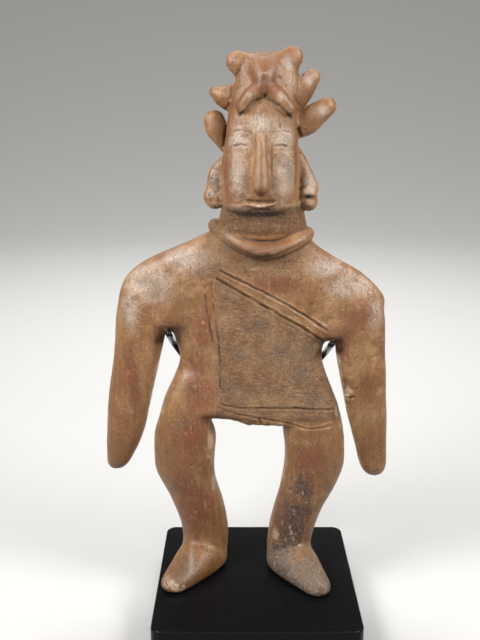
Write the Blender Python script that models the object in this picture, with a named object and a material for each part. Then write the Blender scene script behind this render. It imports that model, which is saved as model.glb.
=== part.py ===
"""Flat fired-clay figurine with a horned headdress, held up by a small black rod stand.

Metres, +Z up. The origin is the middle of the stand's underside, and the figure faces -Y,
so +X is at the viewer's right. Each piece of the real thing is one object: the clay figure,
the stand's plate, and the two rods that come forward under the arms.

The clay figure is built as a modeller builds it, from lumps. Each lump is a loft: rings carried
through a few stations. The lumps are fused into one skin, smoothed as by a wet thumb, and then
scored with the lines of the garment and the face.
"""

import math

import bmesh
import bpy
import numpy as np
from mathutils import Quaternion, Vector

# Driving dimensions
FIGURE_HEIGHT = 0.267
BASE_SIDE = 0.1016
BASE_THICKNESS = 0.019
BASE_CORNER_RADIUS = 0.0055
BASE_ARRIS = 0.0008
ROD_DIAMETER = 0.0032
ROD_BEND_RADIUS = 0.008
SOCKET_DEPTH = 0.012
SOCKET_OVERRUN = 0.002
PRONG_REACH = 0.001
PRONG_RISE = 24.5
ROD_STANDOFF = 0.0008
CLEARANCE = 0.0003
GROOVE_WIDTH = 0.0013
GROOVE_DEPTH = 0.0007
EAR_HOLE_DIAMETER = 0.0019

# The figure is drawn in its own unit, 1/267 of its height, and stands on the plate
UNIT = FIGURE_HEIGHT / 267.0
SOLE = BASE_THICKNESS + CLEARANCE
PLANE = 12.4
TORSO_HALF_DEPTH = 10.0
LEG_HALF_DEPTH = 12.4

# How finely the clay is fused and then faceted
VOXEL = 0.9 * UNIT
THUMB_PASSES = 14
CLAY_TRIANGLES = 7000
RING_SIDES = 28
RING_SQUARENESS = 2.35

# Colours of the three finishes, linear
CLAY_COLOUR = (0.38, 0.22, 0.125, 1.0)
PLATE_COLOUR = (0.006, 0.006, 0.008, 1.0)
ROD_COLOUR = (0.010, 0.010, 0.012, 1.0)


def clear_scene():
    """Start from an empty file."""
    for thing in list(bpy.data.objects):
        bpy.data.objects.remove(thing, do_unlink=True)


def material(name, colour, roughness, metallic=0.0):
    """A plain finish: one colour, one roughness."""
    finish = bpy.data.materials.new(name)
    finish.use_nodes = True
    shader = finish.node_tree.nodes["Principled BSDF"]
    shader.inputs["Base Color"].default_value = colour
    shader.inputs["Roughness"].default_value = roughness
    shader.inputs["Metallic"].default_value = metallic
    return finish


def new_object(name, mesh, finish=None):
    """Link a mesh into the scene as one named object."""
    thing = bpy.data.objects.new(name, mesh)
    bpy.context.scene.collection.objects.link(thing)
    if finish is not None:
        mesh.materials.append(finish)
    return thing


def hide_helper(helper):
    """Mark a cutter, so that it is left out of the model."""
    helper.hide_render = True
    helper.display_type = "WIRE"


def through(stations, per_span=6):
    """Rows of numbers joined by a smooth curve that passes through each station."""
    rows = np.array(stations, dtype=float)
    before = 2 * rows[0] - rows[1]
    after = 2 * rows[-1] - rows[-2]
    padded = np.vstack([before, rows, after])
    steps = np.linspace(0.0, 1.0, per_span, endpoint=False)[:, None]
    spans = []
    for index in range(len(rows) - 1):
        a, b, c, d = padded[index:index + 4]
        curve = b + 0.5 * steps * (c - a)
        curve = curve + steps ** 2 * (a - 2.5 * b + 2 * c - 0.5 * d)
        curve = curve + steps ** 3 * (1.5 * (b - c) + 0.5 * (d - a))
        spans.append(curve)
    return np.vstack(spans + [rows[-1:]])


def domed(centres, across, deep, ends):
    """Add shrinking rings past each end, so that a lump closes like a thumb's tip."""
    for at_start, length in ((True, ends[0]), (False, ends[1])):
        edge, inner = (0, 1) if at_start else (-1, -2)
        outward = centres[edge] - centres[inner]
        outward = outward / np.linalg.norm(outward)
        angles = np.radians([25.0, 50.0, 70.0, 86.0])
        if at_start:
            angles = angles[::-1]
        extra = centres[edge] + np.sin(angles)[:, None] * length * outward
        wide = np.cos(angles)[:, None] * across[edge]
        thick = np.cos(angles)[:, None] * deep[edge]
        pairs = [(extra, centres), (wide, across), (thick, deep)]
        if not at_start:
            pairs = [(old, new) for new, old in pairs]
        centres, across, deep = (np.vstack(pair) for pair in pairs)
    return centres, across, deep


def rings(centres, across, deep, sides=RING_SIDES, squareness=RING_SQUARENESS):
    """Rounded-square rings: each is its centre plus its half width and half depth vectors."""
    turn = np.linspace(0.0, 2 * math.pi, sides, endpoint=False)
    power = 2.0 / squareness
    wide = np.sign(np.cos(turn)) * np.abs(np.cos(turn)) ** power
    thick = np.sign(np.sin(turn)) * np.abs(np.sin(turn)) ** power
    return (centres[:, None] + wide[None, :, None] * across[:, None]
            + thick[None, :, None] * deep[:, None])


def add_loft(bm, grid):
    """Skin a grid of rings into a closed lump."""
    rows, sides = grid.shape[:2]
    verts = [[bm.verts.new(point) for point in ring] for ring in grid]
    for row in range(rows - 1):
        for side in range(sides):
            following = (side + 1) % sides
            bm.faces.new((verts[row][side], verts[row][following],
                          verts[row + 1][following], verts[row + 1][side]))
    bm.faces.new(verts[0])
    bm.faces.new(verts[-1])


def add_slab(bm, levels, ends=(3.0, 3.0), squareness=RING_SQUARENESS):
    """A flat lump from level sections: height, left edge, right edge, half depth, middle plane."""
    height, left, right, half_depth, middle = through(levels).T
    centres = np.stack([(left + right) / 2, middle, height], axis=1)
    across = np.zeros_like(centres)
    across[:, 0] = (right - left) / 2
    deep = np.zeros_like(centres)
    deep[:, 1] = half_depth
    grid = rings(*domed(centres, across, deep, ends), squareness=squareness)
    add_loft(bm, grid)


def add_finger(bm, stations, ends=None, squareness=2.0):
    """A lump along a path: x, y, z, half width across the view, half depth front to back."""
    path = through(stations)
    centres = path[:, :3]
    along = np.gradient(centres, axis=0)
    along /= np.linalg.norm(along, axis=1)[:, None]
    forward = np.array([0.0, 1.0, 0.0])
    wide = np.cross(along, forward)
    wide /= np.linalg.norm(wide, axis=1)[:, None]
    thick = np.cross(wide, along)
    across = wide * path[:, 3:4]
    deep = thick * path[:, 4:5]
    if ends is None:
        ends = (path[0, 3], path[-1, 3])
    grid = rings(*domed(centres, across, deep, ends), squareness=squareness)
    add_loft(bm, grid)


def add_foot(bm, heel, toe, widths, heights):
    """A foot: round sections carried from heel to toe, pressed flat on the ground below."""
    share = np.array([0.0, 0.35, 0.7, 1.0])
    track = np.array(heel)[None] + share[:, None] * (np.array(toe) - np.array(heel))[None]
    path = through(np.column_stack([track, widths, heights]))
    along = path[-1, :2] - path[0, :2]
    along /= np.linalg.norm(along)
    side = np.array([-along[1], along[0], 0.0])
    centres = np.column_stack([path[:, :2], 0.32 * path[:, 3]])
    across = side * path[:, 2:3]
    deep = np.zeros_like(centres)
    deep[:, 2] = 0.68 * path[:, 3]
    grid = rings(*domed(centres, across, deep, (path[0, 2], path[-1, 2])), squareness=2.2)
    grid[..., 2] = np.maximum(grid[..., 2], 0.0)
    add_loft(bm, grid)


def add_trunk(bm):
    """Chest, waist and hips, and the yoke of the shoulders above the gaps under the arms."""
    add_slab(bm, [
        (88.0, -47.5, 41.5, 10.8, PLANE),
        (97.0, -46.0, 39.8, 10.8, PLANE),
        (104.0, -43.0, 37.2, 10.5, PLANE),
        (114.0, -39.2, 33.8, TORSO_HALF_DEPTH, PLANE),
        (122.0, -40.2, 34.0, TORSO_HALF_DEPTH, PLANE),
        (136.0, -44.0, 38.0, 9.8, PLANE),
        (150.0, -42.0, 36.0, 8.6, PLANE),
    ], ends=(5.0, 6.0))
    add_slab(bm, [
        (132.5, -70.0, 63.8, 7.6, PLANE),
        (140.0, -70.0, 64.2, 9.0, PLANE),
        (147.0, -69.2, 64.0, 9.7, PLANE),
        (154.0, -67.2, 58.6, 10.0, PLANE),
        (160.5, -62.4, 50.6, 10.2, PLANE),
        (167.0, -52.4, 39.0, 10.4, PLANE),
        (173.6, -37.0, 29.0, 10.6, PLANE),
        (180.5, -22.0, 23.5, 10.8, PLANE),
    ], ends=(3.0, 2.0))
    add_finger(bm, [
        (-38.0, PLANE, 89.6, 4.6, 10.0),
        (-24.0, PLANE, 88.8, 4.6, 10.7),
        (-12.0, PLANE, 87.8, 4.6, 10.8),
        (-3.0, PLANE, 85.2, 4.6, 10.8),
        (16.0, PLANE, 85.0, 4.6, 10.8),
        (34.0, PLANE, 85.6, 4.6, 10.0),
    ], squareness=RING_SQUARENESS)


def add_armpits(bm):
    """Clay that fills the top of the gap under each arm, lower at the viewer's right."""
    add_finger(bm, [
        (-52.0, PLANE, 136.4, 6.0, 8.4),
        (-43.6, PLANE, 135.6, 5.8, 8.4),
        (-35.0, PLANE, 136.4, 6.0, 8.4),
    ], squareness=2.2)
    add_finger(bm, [
        (27.0, PLANE, 133.0, 8.0, 9.4),
        (37.2, PLANE, 131.4, 7.2, 8.8),
        (48.0, PLANE, 133.0, 8.0, 8.8),
    ], squareness=2.2)


def add_arms(bm):
    """Both arms hang a little away from the body and end in plain rounded stumps."""
    add_slab(bm, [
        (152.0, -67.0, -42.0, 7.4, PLANE),
        (140.0, -70.2, -44.5, 8.8, PLANE),
        (128.0, -71.5, -46.0, 9.1, PLANE),
        (114.0, -73.0, -49.2, 9.0, PLANE - 0.4),
        (98.0, -75.5, -53.0, 8.8, PLANE - 0.8),
        (83.0, -76.8, -56.2, 8.6, PLANE - 1.2),
        (71.0, -77.6, -60.0, 8.2, PLANE - 1.6),
        (63.0, -77.6, -64.0, 7.2, PLANE - 1.8),
    ], ends=(3.0, 8.0), squareness=2.2)
    add_slab(bm, [
        (150.0, 38.0, 61.0, 7.4, PLANE),
        (138.0, 39.6, 64.4, 8.8, PLANE),
        (124.0, 39.6, 65.0, 9.1, PLANE),
        (114.0, 40.6, 65.6, 9.0, PLANE - 0.4),
        (98.0, 44.0, 66.6, 8.8, PLANE - 0.8),
        (85.0, 46.8, 67.4, 8.6, PLANE - 1.2),
        (72.0, 50.4, 67.8, 8.2, PLANE - 1.6),
        (60.0, 53.6, 68.2, 7.4, PLANE - 2.0),
    ], ends=(3.0, 8.5), squareness=2.2)


def add_legs(bm):
    """Bowed legs with full calves, and feet that turn out."""
    add_slab(bm, [
        (108.0, -40.5, -24.0, 8.6, PLANE),
        (95.0, -46.8, -26.0, 10.8, PLANE),
        (83.0, -50.4, -23.6, 11.7, PLANE),
        (74.0, -52.8, -20.8, 12.3, PLANE),
        (57.0, -53.0, -21.8, 12.2, PLANE),
        (48.0, -49.6, -20.8, 11.6, PLANE + 0.4),
        (37.0, -44.6, -17.4, 10.8, PLANE + 0.8),
        (25.0, -40.6, -15.0, 10.0, PLANE + 1.0),
        (14.0, -39.0, -14.4, 9.8, PLANE + 0.6),
        (6.0, -40.0, -15.5, 9.6, PLANE),
    ], ends=(3.0, 5.0), squareness=2.15)
    add_slab(bm, [
        (106.0, 16.0, 35.0, 8.6, PLANE),
        (93.0, 14.6, 41.4, 10.8, PLANE),
        (79.0, 13.6, 45.0, 11.8, PLANE),
        (66.0, 15.0, 46.2, 12.4, PLANE),
        (57.0, 14.6, 46.0, 12.2, PLANE),
        (47.0, 13.0, 42.4, 11.6, PLANE - 0.6),
        (36.0, 10.0, 36.2, 10.8, PLANE - 1.8),
        (25.0, 7.2, 31.8, 10.0, PLANE - 2.8),
        (14.0, 6.0, 29.4, 9.8, PLANE - 3.4),
        (6.0, 6.4, 29.8, 9.6, PLANE - 3.8),
    ], ends=(3.0, 5.0), squareness=2.15)
    add_foot(bm, (-26.8, 12.0), (-41.6, -12.6), (12.0, 11.4, 9.6, 7.8), (15.0, 15.5, 11.6, 8.6))
    add_foot(bm, (17.6, 8.4), (30.6, -16.0), (12.0, 11.4, 9.6, 7.8), (15.0, 15.5, 11.6, 8.6))


def add_head(bm):
    """Neck, the long face plate that stands forward of it, and the ridge of the nose."""
    add_slab(bm, [
        (170.0, -25.0, 27.0, 10.4, PLANE),
        (178.0, -21.5, 25.4, 11.2, PLANE),
        (188.0, -18.2, 23.2, 11.6, PLANE),
        (200.0, -15.4, 20.4, 9.4, PLANE),
    ], ends=(3.0, 3.0))
    add_slab(bm, [
        (192.0, -15.3, 17.6, 10.6, PLANE - 5.4),
        (196.0, -17.2, 19.5, 12.6, PLANE - 4.2),
        (206.0, -17.4, 19.8, 13.4, PLANE - 3.2),
        (220.0, -15.8, 19.2, 13.2, PLANE - 2.4),
        (236.0, -13.8, 18.4, 12.4, PLANE - 1.4),
        (246.0, -12.2, 18.0, 11.0, PLANE),
    ], ends=(3.2, 4.0), squareness=2.9)
    add_finger(bm, [
        (1.2, -0.2, 235.0, 2.3, 2.4),
        (1.2, -2.0, 226.0, 2.7, 2.8),
        (1.2, -4.0, 214.0, 3.2, 3.4),
        (1.2, -5.6, 206.0, 3.9, 4.0),
        (1.2, -6.2, 202.4, 4.2, 4.3),
    ], ends=(3.0, 3.0))
    lips = [(-6.2, -4.6, 195.4, 0.6, 0.8), (1.2, -5.8, 193.8, 1.1, 1.6), (8.6, -4.6, 195.4, 0.6, 0.8)]
    add_finger(bm, lips)


def add_collar(bm):
    """A plain roll of clay round the neck, lowest in front."""
    turn = np.linspace(0.0, 2 * math.pi, 72, endpoint=False)
    front = np.clip(-np.sin(turn), 0.0, 1.0)
    behind = np.clip(np.sin(turn), 0.0, 1.0)
    centres = np.column_stack([
        2.0 + 22.6 * np.cos(turn),
        PLANE + 12.8 * np.sin(turn),
        180.7 - 8.4 * front ** 2.2 - 2.5 * behind - 2.0 * np.cos(turn),
    ])
    along = np.roll(centres, -1, axis=0) - np.roll(centres, 1, axis=0)
    along /= np.linalg.norm(along, axis=1)[:, None]
    outward = np.column_stack([np.cos(turn), np.sin(turn), np.zeros_like(turn)])
    upward = np.cross(along, outward)
    upward /= np.linalg.norm(upward, axis=1)[:, None]
    roll = 3.5
    grid = rings(centres, outward * roll, upward * roll, sides=12, squareness=2.0)
    verts = [[bm.verts.new(point) for point in ring] for ring in grid]
    for row, ring in enumerate(verts):
        onward = verts[(row + 1) % len(verts)]
        for side in range(len(ring)):
            following = (side + 1) % len(ring)
            bm.faces.new((ring[side], ring[following], onward[following], onward[side]))


def add_ears(bm):
    """Flat ears on both sides of the face: the viewer's left ends in a disc, the right in a spool."""
    back = PLANE - 1.0
    add_finger(bm, [
        (-16.0, back, 214.0, 2.4, 3.0),
        (-19.2, back, 208.0, 4.1, 3.2),
        (-21.2, back, 200.5, 3.6, 3.2),
    ])
    add_finger(bm, [(-21.4, back - 1.2, 197.0, 4.7, 3.4), (-20.2, back - 1.2, 195.7, 4.9, 3.4)])
    add_finger(bm, [
        (19.0, back, 218.0, 2.0, 3.0),
        (21.8, back, 209.5, 3.8, 3.4),
        (24.6, back, 201.0, 5.0, 3.8),
    ])
    add_finger(bm, [(24.4, back - 4.0, 198.6, 4.2, 3.2), (24.8, back - 1.2, 194.0, 4.4, 3.6)])


def add_headdress(bm):
    """An animal's head lying on the brow: two ears, a broad snout, two forelegs, and four blunt horns."""
    add_slab(bm, [
        (228.0, -11.0, 16.0, 8.0, PLANE - 1.4),
        (237.0, -13.4, 19.6, 10.8, PLANE - 1.0),
        (244.0, -12.4, 20.4, 11.4, PLANE - 1.2),
        (252.0, -10.4, 19.6, 10.0, PLANE - 1.2),
        (258.5, -8.6, 17.6, 8.0, PLANE - 0.8),
    ], ends=(3.0, 5.2), squareness=2.2)
    add_finger(bm, [(-1.5, 8.5, 255.5, 6.4, 4.6), (-6.8, 9.0, 257.4, 6.2, 4.4),
                    (-9.8, 9.0, 258.6, 5.7, 3.9)])
    add_finger(bm, [(8.0, 8.5, 256.0, 6.4, 4.6), (12.6, 9.0, 258.8, 6.1, 4.4),
                    (15.6, 9.0, 260.9, 5.8, 3.9)])
    add_finger(bm, [(2.6, 5.4, 257.2, 7.2, 5.0), (2.6, 3.0, 254.8, 6.6, 4.8),
                    (2.5, 0.4, 251.0, 4.8, 4.0), (2.6, -0.4, 247.4, 3.4, 3.2)], ends=(4.6, 3.4))
    add_finger(bm, [(0.3, 0.8, 247.1, 2.8, 3.6), (-3.6, 0.2, 243.6, 3.3, 4.0),
                    (-6.9, 0.6, 238.9, 3.1, 3.8)])
    add_finger(bm, [(5.6, 0.8, 247.1, 2.8, 3.6), (9.8, 0.2, 243.0, 3.3, 4.0),
                    (13.9, 0.6, 238.0, 3.1, 3.8)])
    horn = PLANE - 1.6
    add_finger(bm, [(-7.5, horn, 242.0, 6.8, 4.8), (-13.5, horn, 242.9, 6.0, 4.4),
                    (-17.6, horn, 244.2, 4.6, 4.0), (-20.0, horn, 245.6, 2.9, 3.2)])
    add_finger(bm, [(-16.2, horn, 219.4, 1.6, 2.6), (-18.0, horn, 223.6, 3.1, 3.6),
                    (-19.4, horn, 228.2, 5.1, 4.2), (-20.5, horn, 232.5, 5.0, 3.9)])
    add_finger(bm, [(15.5, horn, 241.5, 6.8, 4.8), (20.4, horn, 246.4, 5.8, 4.4),
                    (25.2, horn, 252.0, 4.0, 3.8)])
    add_finger(bm, [(14.0, horn, 229.2, 6.0, 4.8), (22.4, horn, 231.5, 6.2, 4.8),
                    (27.6, horn, 235.4, 5.5, 4.4), (32.6, horn, 238.8, 4.4, 4.0)])


def fused_clay(finish):
    """Fuse the lumps into one skin, smooth it, and facet it to its share of triangles."""
    bm = bmesh.new()
    add_trunk(bm)
    add_armpits(bm)
    add_arms(bm)
    add_legs(bm)
    add_head(bm)
    add_collar(bm)
    add_ears(bm)
    add_headdress(bm)
    bmesh.ops.recalc_face_normals(bm, faces=bm.faces)
    bmesh.ops.scale(bm, vec=(UNIT, UNIT, UNIT), verts=bm.verts)
    bmesh.ops.translate(bm, vec=(0.0, 0.0, SOLE), verts=bm.verts)
    lumps = bpy.data.meshes.new("clay_lumps")
    bm.to_mesh(lumps)
    bm.free()
    moulded = new_object("clay_lumps", lumps)
    fuse = moulded.modifiers.new("Fuse", "REMESH")
    fuse.mode = "VOXEL"
    fuse.voxel_size = VOXEL
    thumb = moulded.modifiers.new("Thumb", "SMOOTH")
    thumb.factor = 0.5
    thumb.iterations = THUMB_PASSES
    skin = evaluated_mesh(moulded)
    bpy.data.objects.remove(moulded, do_unlink=True)
    clay = new_object("figurine", skin, finish)
    facets = clay.modifiers.new("Facets", "DECIMATE")
    facets.ratio = CLAY_TRIANGLES / triangle_count(skin)
    return clay


def evaluated_mesh(thing):
    """The object's mesh with its modifiers worked out."""
    bpy.context.view_layer.update()
    graph = bpy.context.evaluated_depsgraph_get()
    return bpy.data.meshes.new_from_object(thing.evaluated_get(graph), depsgraph=graph)


def triangle_count(mesh):
    """How many triangles a mesh has once its faces are split."""
    return sum(len(face.vertices) - 2 for face in mesh.polygons)


def on_front(clay, x, z):
    """The point of the clay's front face behind a place in the front view."""
    start = Vector((x * UNIT, -FIGURE_HEIGHT, SOLE + z * UNIT))
    hit, place, _, _ = clay.ray_cast(start, Vector((0.0, 1.0, 0.0)))
    if not hit:
        raise ValueError(f"no clay behind {x:.1f}, {z:.1f}")
    return np.array(place)


def cut(target, cutter):
    """Subtract a helper from an object."""
    hide_helper(cutter)
    notch = target.modifiers.new(cutter.name, "BOOLEAN")
    notch.operation = "DIFFERENCE"
    notch.solver = "EXACT"
    notch.object = cutter


def groove_cutter(name, points):
    """A V-shaped wedge carried along points on the surface, thinner at both ends.

    Its lip stands as far above the surface as its bottom lies below, so it is twice as wide there.
    """
    path = np.array(points)
    count = len(path)
    along = np.gradient(path, axis=0)
    along /= np.linalg.norm(along, axis=1)[:, None]
    outward = np.array([0.0, -1.0, 0.0])
    aside = np.cross(along, outward)
    aside /= np.linalg.norm(aside, axis=1)[:, None]
    share = np.linspace(0.0, 1.0, count)
    fullness = np.clip(6.0 * np.minimum(share, 1.0 - share) + 0.35, 0.0, 1.0)[:, None]
    lip = path + outward * GROOVE_DEPTH
    left = lip - aside * GROOVE_WIDTH * fullness
    right = lip + aside * GROOVE_WIDTH * fullness
    bottom = path - outward * GROOVE_DEPTH * fullness
    grid = np.stack([left, right, bottom], axis=1)
    bm = bmesh.new()
    add_loft(bm, grid)
    bmesh.ops.recalc_face_normals(bm, faces=bm.faces)
    mesh = bpy.data.meshes.new(name)
    bm.to_mesh(mesh)
    bm.free()
    return new_object(name, mesh)


def score(clay):
    """Score the garment's strap, side seam and hem, and the slits of the face."""
    lines = {
        "strap_upper": [(-18.4, 162.0), (7.9, 148.5), (22.2, 139.9), (34.0, 131.8)],
        "strap_lower": [(-19.6, 158.0), (-2.3, 147.7), (12.4, 138.9), (22.3, 133.3), (32.6, 126.2)],
        "seam_outer": [(-25.7, 154.4), (-25.0, 146.9), (-23.9, 137.4), (-21.8, 125.1)],
        "seam_inner": [(-22.3, 154.9), (-21.6, 146.9), (-20.5, 136.4), (-18.3, 121.0), (-18.7, 100.0)],
        "hem_upper": [(-18.6, 94.0), (-9.7, 92.0), (4.0, 91.6), (17.0, 91.5), (29.0, 91.0), (40.4, 90.1)],
        "hem_lower": [(-16.8, 90.4), (-10.2, 88.5), (2.4, 86.1), (14.6, 83.8), (25.8, 81.0), (38.4, 82.2)],
        "eye_left": [(-11.2, 221.6), (-8.4, 222.3), (-5.6, 221.6)],
        "eye_right": [(8.0, 221.6), (10.8, 222.3), (13.6, 221.6)],
        "mouth": [(-5.0, 196.4), (1.2, 195.5), (7.4, 196.4)],
    }
    bpy.context.view_layer.update()
    surface = clay.evaluated_get(bpy.context.evaluated_depsgraph_get())
    cutters = []
    for name, places in lines.items():
        points = [on_front(surface, x, z) for x, z in through(places, per_span=3)]
        cutters.append(groove_cutter(name, points))
    for cutter in cutters:
        cut(clay, cutter)


def pin_cutter(name, place, diameter, length, sides=10):
    """A round upright pin."""
    bm = bmesh.new()
    bmesh.ops.create_cone(bm, cap_ends=True, segments=sides, radius1=diameter / 2,
                          radius2=diameter / 2, depth=length)
    mesh = bpy.data.meshes.new(name)
    bm.to_mesh(mesh)
    bm.free()
    pin = new_object(name, mesh)
    pin.location = place
    return pin


def pierce_ear(clay):
    """Two small holes through the ear at the viewer's left."""
    for name, x, z in (("ear_hole_upper", -21.2, 206.2), ("ear_hole_lower", -22.6, 198.2)):
        place = (x * UNIT, (PLANE - 1.0) * UNIT, SOLE + z * UNIT)
        hole = pin_cutter(name, place, EAR_HOLE_DIAMETER, 16.0 * UNIT)
        hole.rotation_euler = (math.radians(90.0), 0.0, 0.0)
        cut(clay, hole)


def rounded_square(side, radius, steps=8):
    """The outline of a square with rounded corners, in order."""
    inset = side / 2 - radius
    corners = ((inset, inset, 0.0), (-inset, inset, 90.0), (-inset, -inset, 180.0), (inset, -inset, 270.0))
    outline = []
    for x, y, start in corners:
        for step in range(steps + 1):
            angle = math.radians(start + 90.0 * step / steps)
            outline.append((x + radius * math.cos(angle), y + radius * math.sin(angle)))
    return outline


def base_plate(finish, feet):
    """The stand's foot: a thick plate with rounded corners, soft edges and two blind sockets."""
    bm = bmesh.new()
    ring = [bm.verts.new((x, y, 0.0)) for x, y in rounded_square(BASE_SIDE, BASE_CORNER_RADIUS)]
    bottom = bm.faces.new(ring)
    raised = bmesh.ops.extrude_face_region(bm, geom=[bottom])["geom"]
    top = [item for item in raised if isinstance(item, bmesh.types.BMVert)]
    bmesh.ops.translate(bm, vec=(0.0, 0.0, BASE_THICKNESS), verts=top)
    bmesh.ops.recalc_face_normals(bm, faces=bm.faces)
    mesh = bpy.data.meshes.new("base_plate")
    bm.to_mesh(mesh)
    bm.free()
    plate = new_object("base_plate", mesh, finish)
    arris = plate.modifiers.new("Arris", "BEVEL")
    arris.width = BASE_ARRIS
    arris.segments = 3
    arris.limit_method = "ANGLE"
    arris.angle_limit = math.radians(60.0)
    for name, (x, y) in feet.items():
        middle = BASE_THICKNESS - SOCKET_DEPTH / 2 + SOCKET_OVERRUN / 2
        socket = pin_cutter("socket_" + name, (x, y, middle), ROD_DIAMETER + 2 * CLEARANCE,
                            SOCKET_DEPTH + SOCKET_OVERRUN, sides=24)
        cut(plate, socket)
    return plate


def bent(corners, radius, steps=7):
    """A path of straight runs with a true arc of one radius at each corner."""
    points = [Vector(corners[0])]
    for before, corner, after in zip(corners, corners[1:], corners[2:]):
        corner = Vector(corner)
        arriving = (corner - Vector(before)).normalized()
        leaving = (Vector(after) - corner).normalized()
        turn = arriving.angle(leaving)
        setback = radius * math.tan(turn / 2)
        centre = corner + (leaving - arriving).normalized() * radius / math.cos(turn / 2)
        start = corner - arriving * setback - centre
        axis = arriving.cross(leaving).normalized()
        for step in range(steps + 1):
            spoke = start.copy()
            spoke.rotate(Quaternion(axis, turn * step / steps))
            points.append(centre + spoke)
    points.append(Vector(corners[-1]))
    return points


def support_rod(name, finish, foot, prong):
    """A rod that stands in the plate, turns out behind the waist and rises forward under an arm."""
    foot_x, foot_y = foot
    tip_x, tip_z = prong
    radius = ROD_DIAMETER / 2
    rise = math.radians(PRONG_RISE)
    bottom = BASE_THICKNESS - SOCKET_DEPTH + CLEARANCE
    tip_y = (PLANE - TORSO_HALF_DEPTH) * UNIT - PRONG_REACH + radius
    low = tip_z - (foot_y - tip_y) * math.tan(rise)
    path = bent([
        (foot_x, foot_y, bottom),
        (foot_x, foot_y, low - 2.6 * ROD_BEND_RADIUS),
        (tip_x, foot_y, low),
        (tip_x, tip_y, tip_z),
    ], ROD_BEND_RADIUS)
    tip = path[-1]
    onward = Vector((0.0, -math.cos(rise), math.sin(rise)))
    swell = [1.0] * len(path)
    for angle in (30.0, 55.0, 75.0, 88.0):
        turn = math.radians(angle)
        path.append(tip + onward * radius * math.sin(turn))
        swell.append(math.cos(turn))
    curve = bpy.data.curves.new(name, "CURVE")
    curve.dimensions = "3D"
    curve.bevel_depth = radius
    curve.bevel_resolution = 3
    curve.use_fill_caps = True
    line = curve.splines.new("POLY")
    line.points.add(len(path) - 1)
    for point, place, size in zip(line.points, path, swell):
        point.co = (*place, 1.0)
        point.radius = size
    rod = bpy.data.objects.new(name, curve)
    bpy.context.scene.collection.objects.link(rod)
    curve.materials.append(finish)
    return rod


def main():
    clear_scene()
    clay = material("fired_clay", CLAY_COLOUR, 0.55)
    gloss = material("black_plate", PLATE_COLOUR, 0.18)
    lacquer = material("black_rod", ROD_COLOUR, 0.25)
    behind = (PLANE + LEG_HALF_DEPTH) * UNIT + ROD_DIAMETER / 2 + ROD_STANDOFF
    feet = {
        "left": (-29.0 * UNIT, behind),
        "right": (20.0 * UNIT, behind),
    }
    prongs = {
        "left": (-43.5 * UNIT, SOLE + 130.5 * UNIT),
        "right": (37.2 * UNIT, SOLE + 125.1 * UNIT),
    }
    figurine = fused_clay(clay)
    score(figurine)
    pierce_ear(figurine)
    base_plate(gloss, feet)
    for side, foot in feet.items():
        support_rod("support_rod_" + side, lacquer, foot, prongs[side])


main()
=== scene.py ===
"""The looks of a flat clay figurine with a horned headdress, and of the black stand that holds it.

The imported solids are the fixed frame. The clay is modelled here again from the same lumps, much
finer, then scored, pitted and chipped; the stand's plate and rods are turned out with smooth edges.
Millimetres are used while modelling, with heights counted from the figure's soles.
"""

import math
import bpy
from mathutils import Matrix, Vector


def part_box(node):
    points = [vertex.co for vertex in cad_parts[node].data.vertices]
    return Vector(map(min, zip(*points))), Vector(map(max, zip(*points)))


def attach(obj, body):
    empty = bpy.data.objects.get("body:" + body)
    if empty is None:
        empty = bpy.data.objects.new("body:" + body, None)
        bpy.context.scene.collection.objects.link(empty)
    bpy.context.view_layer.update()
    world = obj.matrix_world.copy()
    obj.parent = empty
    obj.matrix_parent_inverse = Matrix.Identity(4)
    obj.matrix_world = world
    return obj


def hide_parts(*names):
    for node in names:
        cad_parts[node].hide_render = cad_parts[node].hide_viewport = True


bl_info = {
    "name": "Flat Clay Figurine",
    "version": (1, 0, 0),
    "blender": (4, 5, 0),
    "location": "View3D > Sidebar > Figurine",
    "description": "Models a burnished clay figurine on its rod stand, in a plain studio",
    "category": "Object",
}

import bpy
import numpy as np
from bpy.props import FloatProperty, FloatVectorProperty, IntProperty, PointerProperty
from bpy.types import Operator, Panel, PropertyGroup

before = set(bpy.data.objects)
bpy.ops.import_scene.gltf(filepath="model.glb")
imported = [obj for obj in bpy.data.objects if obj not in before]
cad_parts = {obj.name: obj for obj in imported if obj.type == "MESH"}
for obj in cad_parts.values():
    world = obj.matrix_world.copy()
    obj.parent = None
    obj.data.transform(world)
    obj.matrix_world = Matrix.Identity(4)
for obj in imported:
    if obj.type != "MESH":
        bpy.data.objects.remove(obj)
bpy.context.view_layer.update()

# In the figure's own millimetres: y of the flat body's middle plane, and x of the face's middle
PLANE = 12.4
FACE_MIDDLE = 1.2


def number(name, description, default, low, high):
    """A plain number."""
    return FloatProperty(name=name, description=description, default=default, min=low, max=high)


def metres(name, description, default, low, high):
    """A size in metres."""
    return FloatProperty(name=name, description=description, unit="LENGTH",
                         default=default, min=low, max=high)


def angle(name, description, degrees, high):
    """An angle from zero up. Its default is given in degrees."""
    return FloatProperty(name=name, description=description, subtype="ANGLE",
                         default=math.radians(degrees), min=0.0, max=high)


def tint(name, description, default):
    """A linear colour."""
    return FloatVectorProperty(name=name, description=description, subtype="COLOR", size=4,
                               default=default + (1.0,), min=0.0, max=1.0)


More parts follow.
